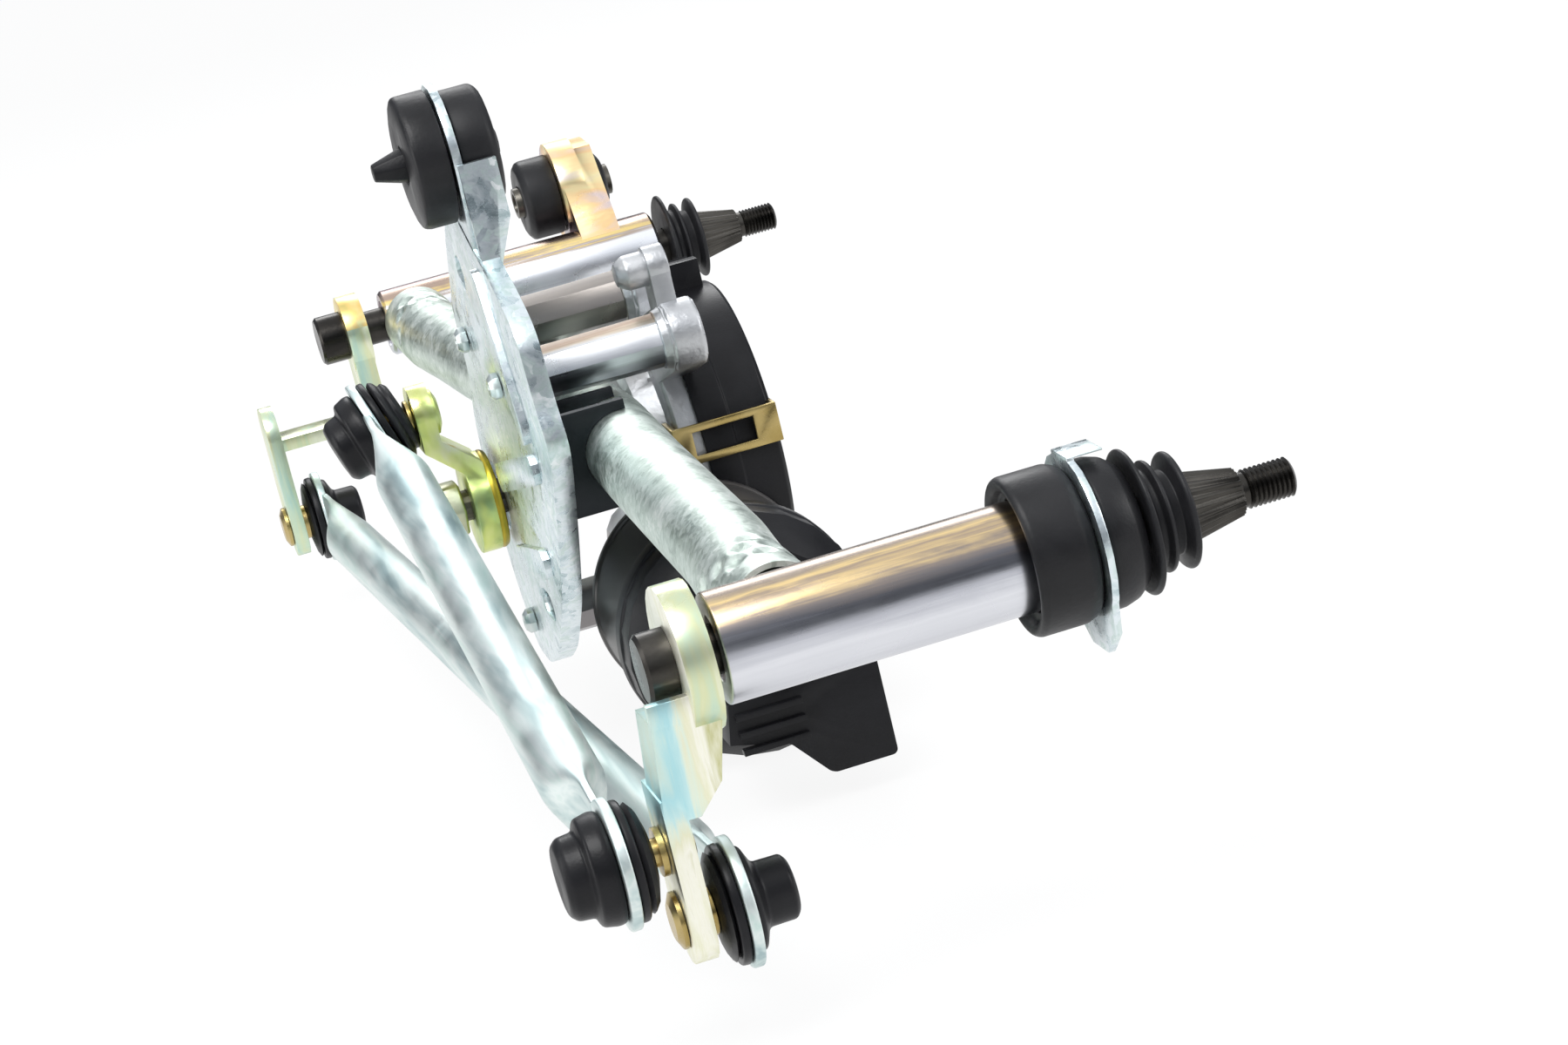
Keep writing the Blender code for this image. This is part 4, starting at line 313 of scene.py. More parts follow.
looks = {
    "sheet": zinc_material("zinc_sheet", (
        (0.28, (0.36, 0.46, 0.48)), (0.40, (0.60, 0.70, 0.73)), (0.50, (0.80, 0.87, 0.90)),
        (0.60, (0.62, 0.74, 0.72)), (0.70, (0.92, 0.96, 0.97)),
    ), 330.0, (0.22, 0.42)),
    "tube": zinc_material("zinc_tube", (
        (0.32, (0.42, 0.50, 0.45)), (0.46, (0.60, 0.68, 0.62)), (0.60, (0.72, 0.79, 0.74)),
        (0.72, (0.84, 0.88, 0.84)),
    ), 700.0, (0.36, 0.52)),
    "rods": banded_material("zinc_rods", (
        (0.30, (0.40, 0.52, 0.53)), (0.42, (0.60, 0.71, 0.70)), (0.55, (0.78, 0.85, 0.83)),
        (0.68, (0.62, 0.76, 0.72)), (0.78, (0.88, 0.93, 0.91)),
    ), (130.0, 9.0, 130.0), 0.42),
    "aluminium": plain_material(
        "cast_aluminium", ((0.40, 0.41, 0.43), (0.66, 0.67, 0.68)), (0.36, 0.5), 1.0, 500.0, 0.35,
        0.0006,
    ),
    "gold": plain_material(
        "gold_chromate", ((0.32, 0.23, 0.07), (0.62, 0.49, 0.22)), (0.2, 0.36), 1.0, 900.0, 0.1,
    ),
    "steel": plain_material(
        "dark_steel", ((0.07, 0.065, 0.055), (0.17, 0.16, 0.14)), (0.28, 0.46), 1.0, 900.0, 0.15,
    ),
    "rubber": plain_material(
        "black_rubber", ((0.006, 0.006, 0.007), (0.016, 0.016, 0.018)), (0.34, 0.54), 0.0, 700.0,
        0.25, 0.0003, 45.0, 0.28
    ),
    "plastic": plain_material(
        "black_plastic", ((0.005, 0.005, 0.006), (0.012, 0.012, 0.014)), (0.28, 0.48), 0.0, 1500.0,
        0.2, 0.0002, 45.0, 0.22
    ),
    "can": plain_material(
        "black_paint", ((0.055, 0.052, 0.050), (0.095, 0.090, 0.088)), (0.28, 0.42), 0.4, 600.0,
        0.08,
    ),
    "magnet": plain_material(
        "ferrite", ((0.05, 0.05, 0.055), (0.09, 0.09, 0.095)), (0.5, 0.7), 0.0,
    ),
    "carbon": plain_material("carbon", ((0.02, 0.02, 0.02), (0.04, 0.04, 0.04)), (0.5, 0.7), 0.0),
    "bronze": plain_material("bronze", ((0.42, 0.26, 0.12), (0.62, 0.42, 0.22)), (0.35, 0.5), 1.0),
    "brass": plain_material("brass", ((0.62, 0.46, 0.18), (0.80, 0.64, 0.34)), (0.2, 0.35), 1.0),
    "core": plain_material("lamination", ((0.24, 0.24, 0.25), (0.38, 0.38, 0.40)), (0.4, 0.6), 1.0),
    "copper": plain_material("copper", ((0.60, 0.24, 0.10), (0.82, 0.40, 0.22)), (0.25, 0.4), 1.0),
    "wheel": plain_material(
        "pale_nylon", ((0.62, 0.60, 0.52), (0.76, 0.74, 0.68)), (0.4, 0.55), 0.0,
    ),
}

# Where the near lever's web changes tone, along X and along Z, in millimetres
LEVER_WEB_SPAN = (-21.0, -8.5)
LEVER_WEB_FADE = (-42.0, -22.0)

# Tones round the near housing. The brown top and gold streaks are its passivation colour. The dark
# stop at 0.930 and the bright stop at 0.060, on the front towards -Y, are painted reflection.
looks["near_housing"] = around_material("near_housing_passivation_and_reflection", (0.0, 0.0), (
    (0.000, (0.52, 0.53, 0.58)), (0.060, (0.74, 0.75, 0.79)), (0.200, (0.56, 0.57, 0.61)),
    (0.710, (0.34, 0.29, 0.26)), (0.800, (0.40, 0.33, 0.27)), (0.836, (0.90, 0.68, 0.34)),
    (0.852, (0.44, 0.35, 0.27)), (0.872, (0.74, 0.56, 0.30)), (0.892, (0.32, 0.27, 0.24)),
    (0.930, (0.20, 0.20, 0.22)), (0.968, (0.42, 0.43, 0.47)), (1.000, (0.52, 0.53, 0.58)),
), warp=0.03)
# Tones round the far housing. The brown and gold streaks are its passivation colour. The near-white
# stops at 0.900 and 0.960, on the upper front towards -Y, are a painted highlight.
looks["far_housing"] = around_material("far_housing_passivation_and_highlight", (PIVOT_SPACING, 0.0), (
    (0.000, (0.80, 0.83, 0.88)), (0.060, (0.42, 0.45, 0.50)), (0.200, (0.60, 0.63, 0.68)),
    (0.710, (0.28, 0.21, 0.22)), (0.815, (0.50, 0.38, 0.30)), (0.845, (0.96, 0.74, 0.30)),
    (0.868, (0.48, 0.40, 0.34)), (0.900, (0.94, 0.95, 0.98)), (0.960, (0.92, 0.94, 0.98)),
    (1.000, (0.80, 0.83, 0.88)),
))
looks["lever"] = banded_material("lever_chromate", (
    (0.28, (0.42, 0.66, 0.62)), (0.40, (0.62, 0.76, 0.58)), (0.52, (0.72, 0.76, 0.48)),
    (0.64, (0.84, 0.86, 0.68)), (0.76, (0.70, 0.74, 0.40)),
), (150.0, 60.0, 14.0), 0.3)
looks["crank"] = banded_material("crank_chromate", (
    (0.30, (0.34, 0.46, 0.20)), (0.42, (0.62, 0.70, 0.22)), (0.54, (0.74, 0.78, 0.34)),
    (0.66, (0.80, 0.80, 0.56)), (0.76, (0.66, 0.50, 0.10)),
), (90.0, 40.0, 40.0), 0.28)
# Chromate tones of the near lever's web. The near-white stop at 0.82 paints a highlight along the
# web's right strip.
looks["lever_web"] = across_material("lever_web_chromate_and_highlight", LEVER_WEB_SPAN, LEVER_WEB_FADE, (
    (0.00, (0.66, 0.78, 0.68)), (0.14, (0.62, 0.82, 0.78)), (0.30, (0.46, 0.76, 0.80)),
    (0.46, (0.60, 0.84, 0.84)), (0.56, (0.80, 0.88, 0.74)), (0.66, (0.84, 0.84, 0.62)),
    (0.82, (0.96, 0.95, 0.84)), (1.00, (0.58, 0.58, 0.30)),
), (0.30, 0.48))
looks["lever_gold"] = banded_material("lever_gold", (
    (0.30, (0.62, 0.56, 0.20)), (0.45, (0.92, 0.66, 0.24)), (0.60, (0.86, 0.84, 0.46)),
    (0.74, (0.95, 0.80, 0.40)),
), (90.0, 60.0, 60.0), 0.3)
looks["lug"] = banded_material("orange_passivation", (
    (0.28, (0.46, 0.52, 0.66)), (0.38, (0.82, 0.66, 0.60)), (0.50, (0.95, 0.66, 0.34)),
    (0.60, (0.96, 0.82, 0.46)), (0.72, (0.80, 0.70, 0.66)),
), (30.0, 60.0, 90.0), 0.3)
looks["zinc_screw"] = plain_material(
    "zinc_screw", ((0.40, 0.46, 0.46), (0.72, 0.78, 0.76)), (0.25, 0.4), 1.0,
)
# Painted shade: the motor plate's faces behind the tube are near black for the shadow that falls
# there.
looks["cradle"] = plain_material(
    "shaded_cradle", ((0.02, 0.022, 0.025), (0.05, 0.055, 0.06)), (0.4, 0.6), 1.0,
)
# Tones round a gearbox post. The dark stop at 0.20 paints shade on its underside, and the
# near-white stop at 0.88 paints a highlight on its upper front.
looks["post"] = around_material("turned_post_painted_shade_and_highlight", (245.0, 21.5), (
    (0.00, (0.62, 0.64, 0.68)), (0.06, (0.34, 0.35, 0.38)), (0.20, (0.16, 0.16, 0.18)),
    (0.71, (0.44, 0.40, 0.36)), (0.80, (0.50, 0.38, 0.30)), (0.84, (0.70, 0.60, 0.48)),
    (0.88, (0.90, 0.90, 0.91)), (1.00, (0.62, 0.64, 0.68)),
), (0.24, 0.4))
looks["olive"] = plain_material(
    "olive_boss", ((0.22, 0.17, 0.02), (0.52, 0.40, 0.05)), (0.25, 0.4), 1.0, 900.0, 0.1,
)
looks["nut"] = plain_material(
    "nut_chromate", ((0.42, 0.44, 0.30), (0.66, 0.66, 0.48)), (0.25, 0.4), 1.0,
)
looks["shaft"] = plain_material(
    "blackened_shaft", ((0.03, 0.028, 0.026), (0.085, 0.08, 0.072)), (0.24, 0.42), 1.0,
)

SLOT_LOOKS = {"zinc": "sheet"}
NODE_LOOKS = {
    "frame_tube": "tube", "drive_rod": "rods", "link_rod": "rods",
    "near_pivot_housing": "near_housing", "far_pivot_housing": "far_housing", "crank_arm": "crank",
    "crank_nut": "nut", "near_shaft": "shaft", "far_shaft": "shaft", "near_lever": "lever",
    "far_lever": "lever", "plate_screw_1": "zinc_screw", "plate_screw_2": "zinc_screw",
    "plate_screw_3": "zinc_screw", "crank_washer": "nut",
}
BODY_OF = {
    node: body for body, held in frame["record"]["behaviour"]["bodies"].items() for node in held
}
SLOT_OF = {part["node"]: part["material_slot"] for part in frame["record"]["subparts"]}
WELD = 0.000002
FLAT = math.radians(0.6)
SHARP = math.radians(32.0)


def look_of(node):
    slot = SLOT_OF[node]
    return looks[NODE_LOOKS.get(node, SLOT_LOOKS.get(slot, slot))]


def dress_nodes():
    """Gives each carried-over solid the finish of its material slot."""
    for name, solid in nodes.items():
        solid.data.materials.clear()
        solid.data.materials.append(look_of(name))


def finish_piece(shape, name, replaced, finishes=()):
    """Turns a bmesh into a piece that rides and finishes as the solids that it replaces."""
    data = bpy.data.meshes.new(name)
    shape.to_mesh(data)
    shape.free()
    for face in data.polygons:
        face.use_smooth = True
    data.set_sharp_from_angle(angle=SHARP)
    for finish in finishes or (look_of(replaced[0]),):
        data.materials.append(finish)
    piece = bpy.data.objects.new(name, data)
    bpy.context.scene.collection.objects.link(piece)
    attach(piece, BODY_OF[replaced[0]])
    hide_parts(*replaced)


def rounded(shape, edges, width, steps):
    bmesh.ops.bevel(
        shape, geom=edges, offset=width * MM, offset_type="OFFSET", segments=steps, profile=0.5,
        affect="EDGES", clamp_overlap=True, material=-1,
    )


def soften(shape, width, corner=30.0, steps=2):
    """Rounds the edges that turn by more than the corner angle."""
    limit = math.radians(corner)
    edges = [
        edge for edge in shape.edges
        if len(edge.link_faces) == 2 and edge.calc_face_angle(0.0) > limit
    ]
    rounded(shape, edges, width, steps)


def copied(node):
    """The solid with its loose triangles joined and its flat faces whole."""
    shape = bmesh.new()
    shape.from_mesh(nodes[node].data)
    bmesh.ops.remove_doubles(shape, verts=shape.verts, dist=WELD)
    bmesh.ops.dissolve_limit(shape, angle_limit=FLAT, verts=shape.verts, edges=shape.edges)
    return shape


# The near lever's web: below a height its right edge is drawn in, by a share of the way down
WEB_TAPER = -27.0
WEB_RIGHT = -8.6
WEB_EDGE = -13.0
WEB_TAPER_SLOPE = 0.7


def taper_web(shape):
    """Draws in the right edge of the near lever's web towards its lower end."""
    bmesh.ops.bisect_plane(
        shape, geom=shape.verts[:] + shape.edges[:] + shape.faces[:],
        plane_co=at(0.0, 0.0, WEB_TAPER), plane_no=(0.0, 0.0, 1.0),
    )
    for vert in shape.verts:
        spot = (vert.co - ORIGIN) / MM
        if spot.x > WEB_EDGE and spot.z < WEB_TAPER:
            vert.co.x -= (WEB_TAPER - spot.z) * WEB_TAPER_SLOPE * MM
    return shape


# Gearbox posts as (y, z), with how far from their lines and along them they reach
POSTS = ((245.0, 21.5), (291.0, 28.0), (302.0, -64.0))
POST_REACH = 8.6
POST_END = 49.0
POST_FOOT = (
    (47.5, 4.0), (47.5, 8.4), (50.0, 9.2), (51.0, 10.2), (59.2, 10.2), (60.2, 9.4), (60.2, 4.0),
)
STUB_PLACE = (0.0, 250.0, 42.0)
STUB = (
    ((40.9, 0.0), (40.9, 3.2), (44.0, 5.2), (50.5, 5.2), (50.5, 0.0)),
    ((49.8, 3.0), (49.8, 6.2), (56.2, 6.2), (56.2, 3.0)),
)


def round_feet(shape):
    """Adds the round feet of two gearbox posts and the round stub."""
    feet = [turned(POST_FOOT, (0.0, y, z), steps=64, rounding=0.5) for y, z in POSTS[:2]]
    stub = [turned(profile, STUB_PLACE, steps=48, rounding=0.5) for profile in STUB]
    return joined(shape, *feet, *stub)


def on_post(spot):
    near = any(math.hypot(spot.y - y, spot.z - z) < POST_REACH for y, z in POSTS)
    return near and spot.x < POST_END


# Where the second looks of three pieces begin: painted shade on the motor plate, and the gold and
# lug finishes
CRADLE_LEFT = 4.5
CRADLE_HALF_HEIGHT = 17.0
LEVER_GOLD_BOTTOM = 2.0
LUG_BOTTOM = 14.5

RESHAPED = {"near_lever": taper_web, "gearbox_housing": round_feet}

# A second look on part of a piece, some holding painted shade and highlights (the motor plate's is
# painted shade): its look, and a test of a face by its middle in millimetres
SECOND_LOOKS = {
    # Painted shade on the motor plate's faces behind the tube
    "motor_plate": (
        "cradle", lambda spot: spot.x > CRADLE_LEFT and abs(spot.z) < CRADLE_HALF_HEIGHT,
    ),
    "near_lever": ("lever_web", lambda spot: spot.x < WEB_RIGHT),
    "far_lever": ("lever_gold", lambda spot: spot.z > LEVER_GOLD_BOTTOM),
    "far_pivot_housing": ("lug", lambda spot: spot.z > LUG_BOTTOM),
    "gearbox_housing": ("post", on_post),
}


def softened_copy(node, width):
    """The solid with rounded edges, reshaped and given a second look where a table says so; some
    second looks hold painted shade and highlights.
    """
    shape = copied(node)
    if width:
        soften(shape, width)
    if node in RESHAPED:
        shape = RESHAPED[node](shape)
    finishes = [look_of(node)]
    if node in SECOND_LOOKS:
        look, chosen = SECOND_LOOKS[node]
        finishes.append(looks[look])
        for face in shape.faces:
            face.material_index = int(chosen((face.calc_center_median() - ORIGIN) / MM))
    finish_piece(shape, node + "_fine", (node,), finishes)


def turned(profile, place, side=1.0, steps=64, rounding=0.0, axis="X"):
    """A solid of revolution from a profile of (along, radius), ending on the axis or closed."""
    shape = bmesh.new()
    middle = at(*place)
    along = Vector((1.0, 0.0, 0.0)) if axis == "X" else Vector((0.0, 1.0, 0.0))
    out = Vector((0.0, 0.0, MM))
    points = [
        shape.verts.new(middle + along * (side * far * MM) + out * radius)
        for far, radius in profile
    ]
    chain = [shape.edges.new(pair) for pair in zip(points, points[1:])]
    if profile[0][1] > 0.0:
        chain.append(shape.edges.new((points[-1], points[0])))
    bmesh.ops.spin(
        shape, geom=points + chain, cent=middle, axis=along, angle=math.tau, steps=steps,
        use_merge=True,
    )
    bmesh.ops.remove_doubles(shape, verts=shape.verts, dist=WELD)
    bmesh.ops.recalc_face_normals(shape, faces=shape.faces)
    if rounding:
        soften(shape, rounding, 20.0, 3)
    return shape


def joined(*shapes):
    """One bmesh of several closed shells."""
    whole = bmesh.new()
    for shape in shapes:
        data = bpy.data.meshes.new("shell")
        shape.to_mesh(data)
        shape.free()
        whole.from_mesh(data)
        bpy.data.meshes.remove(data)
    return whole


def tilted(shape, place, angle):
    """Turns a shape about the line along Y through a place."""
    bmesh.ops.rotate(
        shape, cent=at(*place), matrix=Matrix.Rotation(math.radians(angle), 3, "Y"),
        verts=shape.verts,
    )
    return shape


NEAR_HOUSING = ((0.0, 8.0), (0.0, 13.5), (100.0, 13.5), (100.0, 8.0))
SPIGOT = ((9.0, 0.0), (9.0, 10.2), (49.0, 10.2), (50.0, 9.2), (50.0, 0.0))
TUBE_X = 20.0


def make_near_housing():
    """The turned near housing with the spigot that holds the tube."""
    body = turned(NEAR_HOUSING, (0.0, 0.0, 0.0), steps=96, rounding=0.6)
    spigot = turned(SPIGOT, (TUBE_X, 0.0, 0.0), steps=48, axis="Y")
    finish_piece(joined(body, spigot), "near_housing_turned", ("near_pivot_housing",))


def make_sockets():
    """Rubber-capped cups of the four ball joints."""
    cup = ((-3.8, 5.8), (-1.0, 6.8), (2.2, 6.5), (5.0, 4.7), (6.9, 0.0))
    flange = ((-3.8, 14.6), (-1.6, 14.8), (-1.5, 10.8), (1.5, 10.8))
    stepped = (
        (1.5, 13.4), (3.4, 13.8), (7.2, 13.0), (8.2, 10.4), (12.2, 10.0), (13.9, 8.4), (14.3, 4.0),
        (13.9, 0.0),
    )
    knob = ((1.5, 13.0), (3.0, 12.6), (4.6, 8.8), (5.4, 8.0), (12.0, 7.9), (13.2, 6.4), (13.4, 0.0))
    for node, centre, side, cap, lean in (
        ("link_rod_near_socket", NEAR_LINK_BALL, 1.0, knob, 0.0),
        ("link_rod_far_socket", FAR_LINK_BALL, 1.0, knob, 0.0),
        ("drive_rod_near_socket", NEAR_DRIVE_BALL, -1.0, stepped, 0.0),
        ("drive_rod_crank_socket", CRANK_BALL, -1.0, stepped, CRANK_LEAN),
    ):
        profile = tuple(reversed(cup)) + flange + cap
        shape = turned(profile, centre, side, rounding=0.7)
        finish_piece(tilted(shape, centre, lean), node + "_capped", (node,))


GROMMET = (
    (76.4, 13.7), (76.4, 15.6), (74.4, 16.4), (73.8, 17.6), (74.0, 18.8), (75.2, 19.5),
    (86.4, 19.5), (88.8, 18.6), (89.9, 17.2), (89.9, 15.5), (91.9, 15.5), (91.9, 17.2),
    (93.2, 18.5), (96.4, 18.4), (99.8, 17.4), (101.8, 15.8), (102.7, 14.8), (102.7, 13.7),
)
YOKE = (
    (0.0, 4.0), (0.0, 9.0), (2.0, 23.0), (5.0, 29.5), (10.0, 33.0), (54.0, 33.0), (55.0, 33.8),
    (58.0, 33.8), (58.0, 31.0), (12.0, 31.0), (7.0, 27.5), (4.0, 21.0), (2.2, 9.0), (2.2, 4.0),
)
CAP_SHELL = (
    (-6.2, 22.0), (-6.2, 27.9), (8.0, 36.0), (14.0, 36.0), (14.0, 34.0), (8.0, 34.0), (-5.0, 26.6),
    (-5.0, 22.0),
)
CONNECTOR_ROUND = 2.2
CONNECTOR_EDGE_LENGTH = 15.0
CONNECTOR_FAR = 173.0
CONNECTOR_TOP = -72.0


def make_rubber_and_can():
    """The near grommet, the motor can, and its cap with the connector."""
    finish_piece(
        turned(GROMMET, (0.0, 0.0, 0.0), steps=96, rounding=0.5), "near_grommet_moulded",
        ("near_grommet",),
    )
    finish_piece(
        turned(YOKE, MOTOR_END, steps=128, rounding=0.5, axis="Y"), "motor_can_drawn",
        ("motor_yoke",),
    )
    cap = copied("connector_cap")
    corners = []
    for edge in cap.edges:
        first, last = ((vert.co - ORIGIN) / MM for vert in edge.verts)
        long = abs(last.y - first.y) > CONNECTOR_EDGE_LENGTH and edge.calc_face_angle(0.0) > 0.5
        on_block = max(first.y, last.y) < CONNECTOR_FAR and max(first.z, last.z) < CONNECTOR_TOP
        if long and on_block:
            corners.append(edge)
    rounded(cap, corners, CONNECTOR_ROUND, 5)
    soften(cap, 0.4)
    shell = turned(CAP_SHELL, MOTOR_END, steps=128, rounding=0.4, axis="Y")
    finish_piece(joined(cap, shell), "connector_cap_moulded", ("connector_cap",))


SHAFT_STEPS = 144
THREAD_CORE = 4.25
THREAD_CREST = 4.85
SHAFT = (
    (108.0, 6.0), (109.0, 7.0), (114.8, 7.0), (115.6, 8.6), (117.4, 8.6), (130.6, 5.9),
    (131.0, 4.4), (132.4, 4.3), (132.8, 4.85),
)
SPLINE_CONE = (116.8, 130.7)
SPLINE_TEETH = 24
SPLINE_DEPTH = 0.6
THREAD_TURNS = 9
THREAD_STEP = 1.2
SEAL = (
    (103.8, 6.3), (103.8, 17.0), (104.4, 17.9), (105.2, 17.8), (105.8, 14.0), (107.0, 11.6),
    (108.4, 11.8), (109.2, 13.8), (110.2, 13.6), (110.8, 10.6), (113.4, 10.2), (114.2, 13.8),
    (114.9, 14.4), (115.7, 14.2), (116.0, 13.2), (115.2, 9.2), (114.6, 7.6), (114.6, 6.3),
)

# The clip is squeezed about the middle of its solid and set at its own height
CLIP_MIDDLE = -21.4
CLIP_HEIGHT = -21.0
CLIP_SQUEEZE = 0.66


def make_clip():
    """The spring clip, drawn in to its real width."""
    shape = copied("cover_clip")
    for vert in shape.verts:
        z = (vert.co.z - ORIGIN.z) / MM
        vert.co.z += (CLIP_HEIGHT + (z - CLIP_MIDDLE) * CLIP_SQUEEZE - z) * MM
    soften(shape, 0.25)
    finish_piece(shape, "cover_clip_bent", ("cover_clip",))


RING_TOP = 20.2
RING_FOLD = 0.75


def make_ring():
    """The zinc ring of the near mount with its low folded tab."""
    shape = copied("near_mount_ring")
    for vert in shape.verts:
        z = (vert.co.z - ORIGIN.z) / MM
        if z > RING_TOP:
            vert.co.z -= (z - RING_TOP) * RING_FOLD * MM
    soften(shape, 0.2)
    finish_piece(shape, "near_mount_ring_folded", ("near_mount_ring",))


COVER_LIP = (
    (57.0, 46.05), (57.0, 47.3), (66.4, 47.3), (66.8, 46.7), (78.6, 46.5), (79.9, 45.4),
    (79.9, 43.5), (66.0, 43.5), (66.0, 46.05),
)


def make_cover():
    """The gear cover with the lip that laps over the gearbox rim."""
    cover = copied("gear_cover")
    soften(cover, 0.4)
    lip = turned(COVER_LIP, CRANK_AXIS, steps=128, rounding=0.3)
    finish_piece(joined(cover, lip), "gear_cover_lipped", ("gear_cover",))


def make_shafts():
    """Both wiper shafts with their splined cones and threads, and their lipped seals."""
    for side, y, head_start in (("near", 0.0, -17.8), ("far", PIVOT_SPACING, -24.3)):
        profile = [
            (head_start, 0.0), (head_start, 7.6), (head_start + 0.9, 8.5), (-10.6, 8.5),
            (-10.0, 6.0),
        ]
        profile += list(SHAFT)
        x = SHAFT[-1][0]
        for _ in range(THREAD_TURNS):
            profile += [(x + THREAD_STEP * 0.5, THREAD_CORE), (x + THREAD_STEP, THREAD_CREST)]
            x += THREAD_STEP
        profile += [(144.2, 4.1), (144.5, 3.4), (144.5, 0.0)]
        shape = turned(profile, (0.0, y, 0.0), steps=SHAFT_STEPS)
        for vert in shape.verts:
            place = (vert.co - at(0.0, y, 0.0)) / MM
            if SPLINE_CONE[0] < place.x < SPLINE_CONE[1]:
                tooth = math.atan2(place.z, place.y) * SPLINE_TEETH
                inward = Vector((0.0, place.y, place.z)).normalized()
                vert.co -= inward * (SPLINE_DEPTH * MM * (0.5 + 0.5 * math.cos(tooth)))
        finish_piece(shape, side + "_shaft_splined", (side + "_shaft",))
        seal = turned(SEAL, (0.0, y, 0.0), steps=96, rounding=0.35)
        finish_piece(seal, side + "_seal_lips", (side + "_seal_cap",))


FAR_TUBE_X = 10.5
NEAR_CRIMP_END = 52.0
FAR_CRIMP_START = 446.0

# The tube's middle line as (x, y); the pieces after the eased knots bend softly
TUBE_KNOTS = (
    (TUBE_X, 14.4), (TUBE_X, 54.0), (22.0, 70.0), (25.0, 185.0), (27.5, 245.0), (24.6, 308.0),
    (16.0, 370.0), (12.4, 430.0), (FAR_TUBE_X, 446.0), (FAR_TUBE_X, 488.0),
)
EASED_KNOTS = (1, 7)


def tube_line():
    """Stations along the frame tube as (x, y), in millimetres."""
    y = TUBE_KNOTS[0][1]
    line = []
    while y < TUBE_KNOTS[-1][1]:
        index = max(i for i, knot in enumerate(TUBE_KNOTS[:-1]) if knot[1] <= y)
        (x0, y0), (x1, y1) = TUBE_KNOTS[index:index + 2]
        share = (y - y0) / (y1 - y0)
        if index in EASED_KNOTS:
            share = share * share * (3 - 2 * share)
        line.append((x0 + (x1 - x0) * share, y))
        y += 1.2 if y < NEAR_CRIMP_END or y > FAR_CRIMP_START else 4.0
    line.append(TUBE_KNOTS[-1])
    smooth = []
    for index, (x, y) in enumerate(line):
        around = line[max(0, index - 3):index + 4]
        smooth.append((sum(pair[0] for pair in around) / len(around), y))
    return smooth


# Stations along a rod: close ones at its pressed ends and wide ones between
END_START = 12.0
END_STEP = 1.7
END_STEPS = 23
MIDDLE_START = 55.0
MIDDLE_STEP = 12.0

EYE_OUTER = 16.0
EYE_HOLE = 11.2
EYE_THICKNESS = 2.6
ROD_RADIUS = 8.25
PRESSED_HALF_WIDTH = 10.5
PRESS_START = 23.0
PRESS_LENGTH = 24.0
LEAN_START = 90.0
LEAN_LENGTH = 70.0


def ease(value):
    held = min(1.0, max(0.0, value))
    return held * held * (3.0 - 2.0 * held)


def drawn_ring(segments, radius, start, moves):
    """An open tube: a circle across Y at a start, drawn along a list of moves."""
    shape = bmesh.new()
    ring = bmesh.ops.create_circle(shape, cap_ends=False, segments=segments, radius=radius)["verts"]
    bmesh.ops.rotate(
        shape, cent=(0.0, 0.0, 0.0), matrix=Matrix.Rotation(math.radians(90.0), 3, "X"), verts=ring,
    )
    bmesh.ops.translate(shape, vec=start, verts=ring)
    edges = list(shape.edges)
    for move in moves:
        made = bmesh.ops.extrude_edge_only(shape, edges=edges)["geom"]
        edges = [part for part in made if isinstance(part, bmesh.types.BMEdge)]
        verts = [part for part in made if isinstance(part, bmesh.types.BMVert)]
        bmesh.ops.translate(shape, vec=move, verts=verts)
    return shape


def make_rod(node, near, far, lean=0.0):
    """A tube between two balls, pressed flat at both ends, with a punched eye on each."""
    length = far[1] - near[1]
    stations = [END_START + END_STEP * step for step in range(END_STEPS)]
    count = int((length - 2 * MIDDLE_START) / MIDDLE_STEP) + 1
    middle = [MIDDLE_START + MIDDLE_STEP * step for step in range(count)]
    stations += middle + [length - y for y in reversed(stations)]
    moves = [(0.0, y1 - y0, 0.0) for y0, y1 in zip(stations, stations[1:])]
    shape = drawn_ring(48, 1.0, (0.0, stations[0], 0.0), moves)
    bmesh.ops.holes_fill(shape, edges=shape.edges, sides=0)
    bmesh.ops.recalc_face_normals(shape, faces=shape.faces)
    flat = EYE_THICKNESS / 2 + 0.25
    for vert in shape.verts:
        y = vert.co.y
        round_share = ease((min(y, length - y) - PRESS_START) / PRESS_LENGTH)
        half_x = flat + (ROD_RADIUS - flat) * round_share
        half_z = PRESSED_HALF_WIDTH + (ROD_RADIUS - PRESSED_HALF_WIDTH) * round_share
        power = 0.35 + 0.65 * round_share
        wide = math.copysign(abs(vert.co.x) ** power, vert.co.x) * half_x
        high = math.copysign(abs(vert.co.z) ** (0.6 + 0.4 * round_share), vert.co.z) * half_z
        turn_by = math.radians(lean) * ease((y - length + LEAN_START) / LEAN_LENGTH)
        run = y / length
        base_x = near[0] + (far[0] - near[0]) * run
        base_z = near[2] + (far[2] - near[2]) * run
        vert.co = at(
            base_x + wide * math.cos(turn_by) + high * math.sin(turn_by), near[1] + y,
            base_z - wide * math.sin(turn_by) + high * math.cos(turn_by),
        )
    rim = EYE_THICKNESS / 2
    eye = ((-rim, EYE_HOLE), (-rim, EYE_OUTER), (rim, EYE_OUTER), (rim, EYE_HOLE))
    near_eye = turned(eye, near, rounding=0.5)
    far_eye = tilted(turned(eye, far, rounding=0.5), far, lean)
    finish_piece(joined(shape, near_eye, far_eye), node + "_pressed", (node,))


def make_rods():
    make_rod("drive_rod", NEAR_DRIVE_BALL, CRANK_BALL, CRANK_LEAN)
    make_rod("link_rod", NEAR_LINK_BALL, FAR_LINK_BALL)


